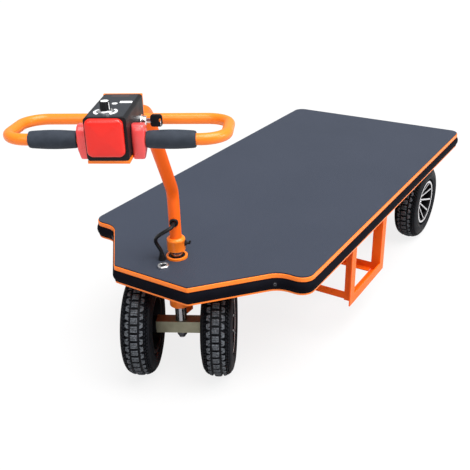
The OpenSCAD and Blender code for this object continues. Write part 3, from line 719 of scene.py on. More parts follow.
@dataclass
class Deck:
    """Load deck: mat, plate, skirts, edge strip and the small fittings on its nose."""

    length: float = 1.500
    width: float = 0.800
    nose: float = 0.205
    nose_w: float = 0.262
    nose_base_w: float = 0.616
    corner_r: float = 0.040
    fillet_r: float = 0.070
    nose_r: float = 0.012
    corner_steps: int = 10
    strip_h: float = 0.032
    strip_t: float = 0.0058
    strip_mid_z: float = -0.035
    strip_gap: float = 0.0003
    strip_steps: int = 14
    crown_share: float = 0.93
    lip_w: float = 0.0025
    lip_t: float = 0.0008
    screw: Fastener = Fastener(0.010, 0.0016, Head.PAN)
    screw_share: float = 0.3
    screw_sink: float = 0.0007
    cup_r: float = 0.0075
    cup_h: float = 0.0017
    edge: float = 0.0012
    gland_edge: float = 0.0004

    def corners(self) -> list[tuple[float, float, float]]:
        """The outline's corners.

        Returns:
            Each corner's place along X and Y and its radius, anticlockwise from the rear right.
        """
        x, y, base, front = self.length / 2, self.width / 2, self.nose_base_w / 2, self.nose_w / 2
        left = [(x + self.nose, front, self.nose_r), (x, base, self.fillet_r), (x, y, self.corner_r),
                (-x, y, self.corner_r)]
        return [(px, -py, r) for px, py, r in reversed(left)] + left

    def outline(self, out: float) -> np.ndarray:
        """The outline, moved outward.

        Args:
            out: How far it is moved.

        Returns:
            Its points, anticlockwise.
        """
        corners = self.corners()
        points = []
        for i, (x, y, r) in enumerate(corners):
            here = np.array((x, y))
            back = here - np.array(corners[i - 1][:2])
            ahead = np.array(corners[(i + 1) % len(corners)][:2]) - here
            start = math.atan2(back[1], back[0])
            turn = (math.atan2(ahead[1], ahead[0]) - start + math.pi) % FULL_TURN - math.pi
            side = math.copysign(1.0, turn)
            way = np.array((math.cos(start), math.sin(start)))
            centre = here - way * r * math.tan(abs(turn) / 2) + side * r * np.array((-way[1], way[0]))
            for k in range(self.corner_steps + 1):
                a = start - side * math.pi / 2 + turn * k / self.corner_steps
                points.append(centre + (r + side * out) * np.array((math.cos(a), math.sin(a))))
        return np.array(points)

    def build_strip(self) -> None:
        """The rubber strip round the skirt: a crowned band with a thin lip along each edge."""
        half = self.strip_h / 2
        bulge = (half ** 2 + self.strip_t ** 2) / (2 * self.strip_t)
        reach = self.crown_share * math.asin(half / bulge)
        lip = half + self.lip_w
        section = [(self.strip_gap, lip), (self.strip_gap, -lip), (self.lip_t, -lip)]
        section += [(self.strip_t - bulge + bulge * math.cos(a), bulge * math.sin(a))
                    for a in np.linspace(-reach, reach, self.strip_steps)]
        section.append((self.lip_t, lip))
        rows = [np.insert(self.outline(out), 2, self.strip_mid_z + up, axis=1) for out, up in section]
        draft = Draft()
        draft.skin(np.array(rows), loop=True)
        draft.piece("edge_strip", [STRIP], Body.CHASSIS, ["edge_bumper"])

    def build_screws(self) -> None:
        """A screw in each inward bend beside the nose, where the strip would pull away."""
        bends = [i for i, corner in enumerate(self.corners()) if corner[2] == self.fillet_r]
        seats = self.outline(self.strip_t - self.screw_sink)
        ahead = self.outline(self.strip_t + self.corner_r)
        r, rise = self.cup_r, self.screw_sink
        draft = Draft()
        for bend, share in zip(bends, (1 - self.screw_share, self.screw_share)):
            i = bend * (self.corner_steps + 1) + round(share * self.corner_steps)
            place = facing((*seats[i], self.strip_mid_z), (*(ahead[i] - seats[i]), 0.0))
            draft.lathe([(r, rise - self.cup_h), (r, self.strip_gap), (r - rise, rise)], 28, place)
            self.screw.build(draft, place, 1)
        draft.piece("strip_screws", [PLASTIC, SCREW], Body.CHASSIS)

    def build_gland(self) -> None:
        """The cable gland: a flange, a hexagon and a tapered neck."""
        seat, r, h = upright("cable_gland")
        draft = Draft()
        draft.lathe([(r, 0.0), (r, h * 0.28), (r * 0.94, h * 0.32)], 40, seat)
        draft.prism(hexagon(r * 1.60), [(h * 0.30, 1.0), (h * 0.52, 1.0), (h * 0.56, 0.93)], seat)
        draft.lathe([(r * 0.72, h * 0.54), (r * 0.72, h * 0.72), (r * 0.66, h * 0.82), (r * 0.62, h),
                     (r * 0.53, h)], 32, seat)
        draft.piece("gland", [PLASTIC], Body.CHASSIS, ["cable_gland"], bevel=self.gland_edge)

    def build_cap(self) -> None:
        """The bright cap on the nose: a rounded ring about a dark plug."""
        seat, r, h = upright("deck_button")
        rise = [(r * (0.80 + 0.20 * c), h * (0.62 + 0.38 * s)) for c, s in arc_points(1.0, 0.0, 90.0, 8)]
        draft = Draft()
        draft.lathe([(r, 0.0), *rise, (r * 0.58, h), (r * 0.54, h * 0.86), (r * 0.52, h * 0.76)], 48, seat)
        draft.lathe([(r * 0.50, h * 0.55), (r * 0.50, h * 0.80), (r * 0.42, h * 0.86),
                     (r * 0.12, h * 0.88)], 40, seat, 1)
        draft.piece("nose_cap", [CHROME, PLASTIC], Body.CHASSIS, ["deck_button"])

    def dress(self) -> None:
        """Finishes on the deck's nodes."""
        dress_node("deck_mat", MAT)
        dress_node("bearing_seal", SEAL)
        for name in ("deck_plate", "head_tube"):
            dress_node(name, ORANGE)
        for name in ("side_skirts", "rear_skirt", "front_skirt", "nose_skirts"):
            dress_node(name, ORANGE, self.edge)
        # The frame under the deck takes the redder, darker orange: painted shade.
        for name in ("long_rails", "cross_members", "head_gusset"):
            dress_node(name, SHADED_ORANGE, self.edge)

    def build(self) -> None:
        """Makes the deck's own pieces and dresses its nodes."""
        self.dress()
        self.build_strip()
        self.build_screws()
        self.build_gland()
        self.build_cap()


@dataclass
class UnderFrame:
    """Battery tray, rear axle and drive unit. The drive unit is drawn about the rear axle's middle.

    Attributes:
        bell_round: Points of the end bell's rounded edge, in from its radius and back from its face.
    """

    edge: float = 0.0010
    taper: float = 0.002
    case_r: float = 0.062
    case_l: float = 0.112
    bore_r: float = 0.013
    hub_r: float = 0.034
    hub_h: float = 0.006
    shoulder: float = 0.008
    flange_step: float = 0.005
    flange_t: float = 0.018
    flange_edge: float = 0.001
    boss_r: float = 0.0080
    boss_l: float = 0.030
    boss_inset: float = 0.0085
    case_bolts: int = 8
    case_bolt: Fastener = Fastener(0.009, 0.005)
    motor_r: float = 0.052
    motor_start: float = 0.030
    motor_end: float = 0.248
    motor_rise: float = 0.012
    ring_start: float = 0.066
    ring_l: float = 0.014
    fins: int = 13
    fin_depth: float = 0.004
    fin_gap: float = 0.008
    fin_drop: float = 0.0006
    fin_top: float = 0.0020
    fin_foot: float = 0.0028
    bell_l: float = 0.040
    bell_round: Profile = ((0.0, 0.010), (0.003, 0.003), (0.008, 0.0))
    dish_r: float = 0.022
    dish_depth: float = 0.003
    bell_bolts: int = 4
    bell_bolt: Fastener = Fastener(0.008, 0.0038)
    bell_bolt_r: float = 0.036

    def middle(self) -> Matrix:
        """The rear axle's middle."""
        left = Vector(joint("rear_left_spin")["pos_m"])
        return Matrix.Translation((left.x, 0.0, left.z))

    def build_case(self, draft: Draft) -> None:
        """Adds the gear case: two halves with a bolted flange between them.

        Args:
            draft: The mesh to add it to.
        """
        across = self.middle() @ facing((0.0, 0.0, 0.0), (0.0, 1.0, 0.0))
        r, body = self.case_r, self.case_r - self.flange_step
        face, flange = self.case_l / 2, self.flange_t / 2
        ledge = face - self.hub_h
        side = [(self.bore_r, face), (self.hub_r, face), (self.hub_r + self.taper, ledge),
                (body - self.shoulder, ledge), (body - self.taper, face - self.shoulder),
                (body, ledge - self.shoulder), (body, flange), (r - self.flange_edge, flange),
                (r, flange - self.flange_edge), (r, 0.0)]
        draft.lathe(side + [(a, -b) for a, b in reversed(side[:-1])], 72, across, loop=True)
        boss = [(self.boss_r, 0.0), (self.boss_r, self.boss_l - self.flange_edge),
                (self.boss_r * 0.9, self.boss_l)]
        for turn in around(across, self.case_bolts, math.pi / self.case_bolts):
            foot = turn @ Matrix.Translation((r - self.boss_inset, 0.0, -self.boss_l / 2))
            draft.lathe(boss, 24, foot)
            self.case_bolt.build(draft, foot @ Matrix.Translation((0.0, 0.0, self.boss_l)), 1)

    def build_motor(self, draft: Draft) -> None:
        """Adds the motor: a finned barrel with a mounting ring and a bolted end bell.

        Args:
            draft: The mesh to add it to.
        """
        ahead = self.middle() @ facing((0.0, 0.0, self.motor_rise), (1.0, 0.0, 0.0))
        r, low, end = self.motor_r, self.motor_r - self.fin_depth, self.motor_end
        ring, ring_end, bell = self.ring_start, self.ring_start + self.ring_l, end - self.bell_l
        profile = [(low, self.motor_start), (low, ring), (r, ring + self.taper), (r, ring_end - self.taper),
                   (low, ring_end)]
        fin = [(low, -self.fin_foot), (r - self.fin_drop, -self.fin_top), (r - self.fin_drop, self.fin_top),
               (low, self.fin_foot)]
        for x in np.linspace(ring_end + self.fin_gap, bell - self.fin_gap, self.fins):
            profile += [(a, x + b) for a, b in fin]
        profile += [(low, bell), (r, bell + self.taper)]
        profile += [(r - inside, end - back) for inside, back in self.bell_round]
        floor = end - self.dish_depth
        profile += [(self.dish_r, end), (self.dish_r - self.taper, floor), (self.taper, floor)]
        draft.lathe(profile, 72, ahead)
        for turn in around(ahead, self.bell_bolts, math.pi / self.bell_bolts):
            self.bell_bolt.build(draft, turn @ Matrix.Translation((self.bell_bolt_r, 0.0, end)), 1)

    def build(self) -> None:
        """Makes the drive unit and dresses the nodes below the deck."""
        # The tray and axle brackets under the deck take the redder, darker orange: painted shade.
        for name in ("tray_posts", "tray_rails", "axle_brackets"):
            dress_node(name, SHADED_ORANGE, self.edge)
        dress_node("rear_axle", BLACK_PAINT)
        draft = Draft()
        self.build_case(draft)
        self.build_motor(draft)
        draft.piece("drive", [BLACK_PAINT, SCREW], Body.CHASSIS, ["drive_unit"])


@dataclass
class Column:
    """Kingpin, front beam and the bent column with its collar, grommet and cable.

    Attributes:
        route: The cable's route, which is that of its solid in the frame.
        bead: Points of the collar's bead, out from its radius and down from its top.
        lever: Points of the clamp screw's lever, to the side and out along the screw.
    """

    route: tuple[tuple[float, float, float], ...] = (
        (0.8396, 0.0106, 0.119), (0.851, 0.017, 0.119), (0.863, 0.020, 0.118), (0.874, 0.017, 0.115),
        (0.882, 0.008, 0.109), (0.885, -0.004, 0.100), (0.883, -0.017, 0.089), (0.878, -0.028, 0.076),
        (0.871, -0.0345, 0.063), (0.8645, -0.035, 0.050), (0.860, -0.0315, 0.038),
        (0.8573, -0.0285, 0.028), (0.857, -0.027, 0.0203))
    cable_d: float = 0.011
    cable_steps: int = 8
    column_r: float = 0.0175
    collar_r: float = 0.027
    collar_z: float = 0.025
    collar_h: float = 0.041
    collar_gap: float = 0.0002
    collar_edge: float = 0.0012
    bead: Profile = ((0.0, 0.0105), (0.0006, 0.0095), (0.0004, 0.0062), (-0.0012, 0.0035), (-0.0052, 0.0))
    screw_z: float = 0.0455
    screw: Fastener = Fastener(0.013, 0.006)
    screw_edge: float = 0.0003
    shank: Profile = ((0.0038, 0.0), (0.0038, 0.0155), (0.0032, 0.0165))
    lever: Profile = ((0.0, 0.0105), (0.0008, 0.0135), (0.0030, 0.0152), (0.0055, 0.0158), (0.0074, 0.0158))
    lever_r: float = 0.0030
    grommet_z: float = 0.119
    grommet_r: float = 0.013
    grommet_reach: float = 0.022
    grommet_sink: float = 0.004
    grommet_lip: float = 0.003
    cable_gap: float = 0.0004
    nut_bore_r: float = 0.0102
    nut_washer_r: float = 0.0165
    nut_across: float = 0.026
    beam_edge: float = 0.0015

    def cable_line(self) -> np.ndarray:
        """The cable's centre line, a smooth curve through the route.

        Returns:
            Its points, from gland to grommet.
        """
        knots = np.array(self.route[::-1])
        padded = np.vstack([2 * knots[0] - knots[1], knots, 2 * knots[-1] - knots[-2]])
        line = [knots[0]]
        for a, b, c, d in zip(padded, padded[1:], padded[2:], padded[3:]):
            for t in np.linspace(0.0, 1.0, self.cable_steps + 1)[1:]:
                line.append(0.5 * (2 * b + (c - a) * t + (2 * a - 5 * b + 4 * c - d) * t ** 2
                                   + (3 * b - a - 3 * c + d) * t ** 3))
        return np.array(line)

    def build_cable(self) -> None:
        """The control cable: a curved tube from the deck's gland to the column's grommet, on no body."""
        line = self.cable_line()
        draft = Draft()
        draft.tube(line, self.cable_d / 2, 20)
        cable = draft.piece("cable", [SEAL], None, ["control_cable"])
        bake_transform(cable)

    def build_collar(self) -> None:
        """The clamp collar, with a round bead at its top."""
        r, z, edge = self.collar_r, self.collar_z, self.collar_edge
        top, bore = z + self.collar_h, self.column_r + self.collar_gap
        draft = Draft()
        bead = [(r + out, top - down) for out, down in self.bead]
        profile = [(bore, z), (r - edge, z), (r, z + edge), *bead, (bore, top)]
        draft.lathe(profile, 64, STEERED, loop=True)
        draft.piece("collar", [ORANGE], Body.STEERING, ["clamp_collar"])

    def build_clamp_screw(self) -> None:
        """The collar's screw, with a bent lever."""
        seat = STEERED @ facing((0.0, self.collar_r - self.collar_edge, self.screw_z), (0.0, 1.0, 0.0))
        draft = Draft()
        self.screw.build(draft, seat)
        draft.lathe(self.shank, 20, seat)
        draft.tube(np.array([seat @ Vector((0.0, *p)) for p in self.lever]), self.lever_r, 12)
        draft.piece("collar_screw", [PLASTIC], Body.STEERING, ["clamp_screw"], bevel=self.screw_edge)

    def build_grommet(self) -> None:
        """The grommet: a round rubber lip on the column, hollow where the cable goes in."""
        foot = self.column_r - self.grommet_sink
        seat = STEERED @ facing((foot, 0.0, self.grommet_z), (1.0, 0.0, 0.0))
        lip, bore = self.grommet_lip, self.cable_d / 2 + self.cable_gap
        r, h = self.grommet_r - lip, self.grommet_reach - foot - lip
        roll = [(r + a, h + b) for a, b in arc_points(lip, 0.0, 180.0, 10)]
        draft = Draft()
        draft.lathe([(self.grommet_r, 0.0), *roll, (bore, h), (bore, 0.0)], 40, seat, loop=True)
        draft.piece("grommet", [SEAL], Body.STEERING, ["column_grommet"])

    def build_nut(self) -> None:
        """The kingpin's nut, under a washer."""
        seat, _, h = upright("kingpin_nut")
        seat = seat @ Matrix.Translation((0.0, 0.0, h)) @ Matrix.Rotation(math.pi, 4, "X")
        bore, r, washer = self.nut_bore_r, self.nut_washer_r, h * 0.18
        draft = Draft()
        draft.lathe([(bore, 0.0), (r, 0.0), (r, washer), (bore, washer)], 36, seat, loop=True)
        draft.prism(hexagon(self.nut_across), [(washer, 0.96), (h * 0.26, 1.0), (h * 0.86, 1.0), (h, 0.88)],
                    seat)
        draft.piece("pin_nut", [SCREW], Body.STEERING, ["kingpin_nut"])

    def build(self) -> None:
        """Makes the column's pieces and dresses its nodes."""
        self.build_cable()
        self.build_collar()
        self.build_clamp_screw()
        self.build_grommet()
        self.build_nut()
        dress_node("kingpin", STEEL)
        dress_node("front_beam", OLIVE, self.beam_edge)
        # The column takes the redder, darker orange: painted shade for an upright tube standing in shade.
        dress_node("column", SHADED_ORANGE)


@dataclass
class ControlHead:
    """Handle loop with grips, and the control housing with pad, paddles, dial and key.

    Places are in the steered frame: X ahead of the kingpin, Y to the left, Z above the deck.

    Attributes:
        grip_roll: Points of a grip's rolled end, in from its radius and along it.
        paddle_shares: Levels of a paddle, as shares of its height and of its depth.
        dial_bars: The dial's marks: start and end in degrees, and the width at both.
        knob_skirt: Profile of the knob's metal skirt.
        knob_levels: Levels of its fluted cap, with their share of full size.
        knob_highlight_top: Profile of its white top, a painted highlight that stands for a bright metal cap.
        lock: Profile of the lock.
        key_levels: Levels of the key's head, with their share of full size.
    """

    bar_x: float = 0.609
    bar_z: float = 0.569
    tilt: float = 2.5
    front: float = 0.650
    back: float = 0.495
    width: float = 0.076
    top: float = 0.622
    edge: float = 0.0012
    grip_start: float = 0.063
    grip_l: float = 0.090
    grip_bore_r: float = 0.0112
    grip_end_r: float = 0.0155
    grip_mid_r: float = 0.0175
    grip_ends: tuple[float, float] = (0.05, 0.95)
    grip_steps: int = 15
    grip_roll: Profile = ((0.0022, 0.0), (0.0006, 0.0010))
    pad_w: float = 0.068
    pad_h: float = 0.069
    pad_t: float = 0.012
    pad_y: float = -0.0015
    pad_drop: float = 0.0015
    pad_corner: float = 0.011
    pad_least_r: float = 0.004
    pad_foot: float = 0.0006
    pad_step: float = 0.0035
    pad_round: float = 0.0065
    pad_sweep: float = 77.4
    pad_steps: int = 7
    crown_shares: tuple[float, ...] = (0.75, 0.5, 0.25, 0.02)
    paddle_w: float = 0.024
    paddle_h: float = 0.064
    paddle_d: float = 0.030
    paddle_y: float = 0.0382
    paddle_drop: float = 0.003
    paddle_corner: float = 0.0042
    paddle_shares: Profile = ((0.0, 0.50), (0.012, 0.62), (0.05, 0.72), (0.30, 0.92), (0.55, 1.0),
                              (0.82, 0.96), (0.95, 0.78), (0.988, 0.62), (1.0, 0.5))
    foot_share: float = 0.84
    foot_end: float = 0.3
    head_start: float = 0.9
    film_margin: tuple[float, float] = (0.008, 0.012)
    film_corner: float = 0.004
    film_sink: float = 0.0006
    film_t: float = 0.0003
    pane_at: tuple[float, float] = (0.512, 0.0)
    pane: Plate = Plate((0.0056, 0.0346), 0.0010, ((-0.0016, 1.0), (0.0005, 1.0)))
    mark_t: float = 0.0010
    dial: tuple[float, float] = (0.615, -0.005)
    dial_r: float = 0.0168
    dial_bars: tuple[tuple[float, float, float, float], ...] = (
        (-146.0, -100.0, 0.0030, 0.0044), (-94.0, -36.0, 0.0046, 0.0060), (34.0, 88.0, 0.0060, 0.0050),
        (94.0, 136.0, 0.0048, 0.0036))
    bar_steps: int = 15
    lamp: tuple[float, float] = (0.564, 0.0)
    lamp_r: tuple[float, float] = (0.0026, 0.0052)
    lamp_edge: float = 0.0002
    gauge_at: tuple[float, float] = (0.554, 0.019)
    gauge: Plate = Plate((0.0110, 0.0230), 0.0014, ((0.0003, 1.0), (0.0010, 0.97)))
    knob_r: float = 0.0090
    knob_skirt: Profile = ((0.0139, 0.0003), (0.0139, 0.0018), (0.0126, 0.0036), (0.0108, 0.0040),
                           (0.0100, 0.0040))
    knob_levels: Profile = ((0.0036, 1.0), (0.0178, 0.96), (0.0192, 0.90), (0.0196, 0.80))
    # The knob's white top disc is a painted highlight standing for a bright cap.
    knob_highlight_top: Profile = ((0.0070, 0.0190), (0.0070, 0.0198), (0.0064, 0.0200), (0.0012, 0.0199))
    flutes: int = 18
    flute_depth: float = 0.0004
    flute_steps: int = 4
    pointer_turn: float = 1.1
    pointer_z: float = 0.0115
    pointer_lean: float = 0.04
    pointer: Plate = Plate((0.0016, 0.0130), 0.0006, ((-0.0010, 1.0), (0.0005, 0.96)))
    key: tuple[float, float] = (0.530, 0.580)
    lock: Profile = ((0.0120, 0.0), (0.0120, 0.0022), (0.0112, 0.0030), (0.0092, 0.0030), (0.0090, 0.0106),
                     (0.0080, 0.0118), (0.0040, 0.0118), (0.0036, 0.0112))
    blade: Plate = Plate((0.0025, 0.0080), 0.0004, ((0.0110, 1.0), (0.0192, 1.0)), 2)
    key_size: tuple[float, float] = (0.0230, 0.0240)
    key_corner: float = 0.0055
    key_reach: float = 0.0305
    key_levels: Profile = ((-0.0030, 0.93), (-0.0022, 1.0), (0.0022, 1.0), (0.0030, 0.93))
    hole_share: tuple[float, float] = (0.20, 0.34)
    hole_x: float = 0.0070
    hoop: tuple[float, float] = (0.0087, -0.0050)
    hoop_r: float = 0.0052
    wire_r: float = 0.0007
    bolt: Fastener = Fastener(0.010, 0.005)
    bolt_y: float = 0.026
    bolt_drops: tuple[float, float] = (0.012, 0.044)
    plate_t: float = 0.006

    def bar(self) -> Matrix:
        """The grip bar's frame, in the loop's own plane."""
        return (STEERED @ Matrix.Translation((self.bar_x, 0.0, self.bar_z))
                @ Matrix.Rotation(math.radians(-self.tilt), 4, "Y"))

    def spot(self, place: tuple[float, float]) -> Matrix:
        """A place on the housing's top."""
        return STEERED @ Matrix.Translation((*place, self.top))

    def build_grips(self) -> None:
        """Foam grips: barrels with rolled ends."""
        end, swell = self.grip_end_r, self.grip_mid_r - self.grip_end_r
        barrel = [(end + swell * math.sin(math.pi * t), self.grip_l * t)
                  for t in np.linspace(*self.grip_ends, self.grip_steps)]
        start = [(self.grip_bore_r, 0.0), *((end - inside, z) for inside, z in self.grip_roll)]
        stop = [(r, self.grip_l - z) for r, z in reversed(start)]
        draft = Draft()
        for side in (1, -1):
            seat = self.bar() @ facing((0.0, side * self.grip_start, 0.0), (0.0, side, 0.0))
            draft.lathe([*start, *barrel, *stop], 48, seat, loop=True)
        draft.piece("foam_grips", [FOAM], Body.STEERING, ["grips"])

    def build_pad(self) -> None:
        """The stop pad: a crowned push plate with rounded edges."""
        middle_z = self.top - self.pad_h / 2 - self.pad_drop
        seat = STEERED @ facing((self.front, self.pad_y, middle_z), (1.0, 0.0, 0.0))
        levels = [(0.0, self.pad_foot), (self.pad_foot, 0.0)]
        levels += [(self.pad_step + up, self.pad_round - out)
                   for out, up in arc_points(self.pad_round, 0.0, self.pad_sweep, self.pad_steps)]
        rows = []
        for depth, inset in levels:
            r = max(self.pad_corner - inset, self.pad_least_r)
            ring = ring_points(self.pad_w - 2 * inset, self.pad_h - 2 * inset, r, 8)
            rows.append(np.insert(ring, 2, depth, axis=1))
        low = rows[-1]
        crown = self.pad_t - low[0][2]
        for share in self.crown_shares:
            ring = low * (share, share, 1.0)
            ring[:, 2] += crown * (1 - share ** 2)
            rows.append(ring)
        draft = Draft()
        draft.skin(np.array(rows), caps=(True, True), matrix=seat)
        draft.piece("push_pad", [RED], Body.STEERING, ["stop_pad"], crease=50.0)

    def paddle_width(self, up: float) -> float:
        """A paddle's width, which is leaner at the foot and a little leaner at the head.

        Args:
            up: The share of its height.

        Returns:
            The width there.
        """
        if up > self.head_start:
            return self.paddle_w * (1 + self.head_start - up)
        return self.paddle_w * (self.foot_share + (1 - self.foot_share) * min(up / self.foot_end, 1.0))

    def build_paddles(self) -> None:
        """Throttle paddles: rounded levers beside the housing."""
        draft = Draft()
        for side in (1, -1):
            rows = []
            for up, deep in self.paddle_shares:
                width = self.paddle_width(up)
                y, z = self.paddle_y + width / 2, (up - 0.5) * self.paddle_h - self.paddle_drop
                ring = ring_points(self.paddle_d * deep, width, self.paddle_corner)
                rows.append([(x, side * (y + dy), z) for x, dy in ring])
            draft.skin(np.array(rows), caps=(True, True), matrix=self.bar())
        # The paddles' lighter, pinker red is a painted sheen.
        draft.piece("paddles", [SHEEN_RED], Body.STEERING, ["throttle_paddles"], crease=50.0)

    def build_film(self) -> None:
        """The film on the housing's top, with its display pane."""
        seat = self.spot(((self.front + self.back) / 2, 0.0))
        size = self.front - self.back - self.film_margin[0], self.width - self.film_margin[1]
        film = Plate(size, self.film_corner, ((-self.film_sink, 1.0), (self.film_t, 1.0)))
        draft = Draft()
        film.build(draft, seat)
        self.pane.build(draft, self.spot(self.pane_at), 1)
        draft.piece("panel_film", [PANEL, GLASS], Body.STEERING)

    def build_marks(self) -> None:
        """The panel's white marks: the dial's bars, a lamp ring and a gauge window."""
        low, high = self.film_t, self.mark_t
        draft = Draft()
        for start, end, thin, thick in self.dial_bars:
            turn = np.radians(np.linspace(start, end, self.bar_steps))
            inner = np.full(self.bar_steps, self.dial_r)
            outer = inner + np.linspace(thin, thick, self.bar_steps)
            lines = [np.stack([r * np.cos(turn), r * np.sin(turn), np.full(self.bar_steps, z)], axis=1)
                     for r, z in ((inner, low), (outer, low), (outer, high), (inner, high))]
            draft.skin(np.stack(lines, axis=1), caps=(True, True), matrix=self.spot(self.dial))
        (inside, outside), edge = self.lamp_r, self.lamp_edge
        draft.lathe([(inside, low), (outside, low), (outside - edge, high), (inside + edge, high)], 36,
                    self.spot(self.lamp), loop=True)
        self.gauge.build(draft, self.spot(self.gauge_at))
        draft.piece("panel_print", [WHITE], Body.STEERING, ["panel_marks"])

    def build_knob(self) -> None:
        """The speed knob: a fluted cap on a metal skirt, with a white pointer and a white top that is a
        painted highlight.
        """
        spot = self.spot(self.dial)
        steps = self.flutes * self.flute_steps
        turn = np.arange(steps) * FULL_TURN / steps
        wave = self.knob_r + self.flute_depth * np.cos(turn * self.flutes)
        side = facing((self.knob_r, 0.0, self.pointer_z), (1.0, 0.0, self.pointer_lean))
        turned = spot @ Matrix.Rotation(self.pointer_turn, 4, "Z") @ side
        draft = Draft()
        draft.lathe(self.knob_skirt, 48, spot, 2)
        draft.prism(np.stack([wave * np.cos(turn), wave * np.sin(turn)], axis=1), self.knob_levels, spot)
        # The top disc is white: a painted highlight.
        draft.lathe(self.knob_highlight_top, 40, spot, 1)
        self.pointer.build(draft, turned, 1)
        draft.piece("speed_knob", [PLASTIC, WHITE, ALLOY], Body.STEERING, ["dial_knob"], crease=40.0)

    def build_key(self) -> None:
        """The key switch: a plated lock with its key, whose head has a hole and a ring."""
        out = STEERED @ Matrix.Translation((self.key[0], self.width / 2, self.key[1]))
        lie = out @ Matrix.Rotation(-math.pi / 2, 4, "X")
        face = (out @ Matrix.Translation((0.0, self.key_reach, 0.0)) @ Matrix.Rotation(math.pi / 2, 4, "Z")
                @ Matrix.Rotation(math.pi / 2, 4, "X"))
        head = ring_points(*self.key_size, self.key_corner)
        hole = head * self.hole_share + (self.hole_x, 0.0)
        rows = [[(x * share, y * share, z) for x, y in head] for z, share in self.key_levels]
        rows += [[(x, y, z) for x, y in hole] for z, _ in (self.key_levels[-1], self.key_levels[0])]
        x, y = self.hoop
        hoop = [face @ Vector((x, y + a, b)) for a, b in arc_points(self.hoop_r, 0.0, 360.0, 36)]
        draft = Draft()
        draft.lathe(self.lock, 40, out @ facing((0.0, 0.0, 0.0), (0.0, 1.0, 0.0)))
        self.blade.build(draft, lie)
        draft.skin(np.array(rows), matrix=face, coat=1, loop=True)
        draft.tube(np.array(hoop), self.wire_r, 10)
        draft.piece("key_and_lock", [CHROME, PLASTIC], Body.STEERING, ["key_switch"])

    def build_bolts(self) -> None:
        """Bolts through the bracket's back plate into the housing."""
        draft = Draft()
        for y in (-self.bolt_y, self.bolt_y):
            for drop in self.bolt_drops:
                place = (self.back - self.plate_t, y, self.top - drop)
                self.bolt.build(draft, STEERED @ facing(place, (-1.0, 0.0, 0.0)))
        draft.piece("bracket_bolts", [SCREW], Body.STEERING)

    def build(self) -> None:
        """Makes the head's pieces and dresses its nodes."""
        dress_node("handle_loop", ORANGE)
        dress_node("head_bracket", ORANGE, self.edge)
        dress_node("head_housing", PLASTIC, self.edge)
        self.build_grips()
        self.build_pad()
        self.build_paddles()
        self.build_film()
        self.build_marks()
        self.build_knob()
        self.build_key()
        self.build_bolts()


class Axle(Enum):
    """The two axles."""

    FRONT = "front"
    REAR = "rear"


class Side(Enum):
    """The vehicle's sides."""

    LEFT = "left"
    RIGHT = "right"


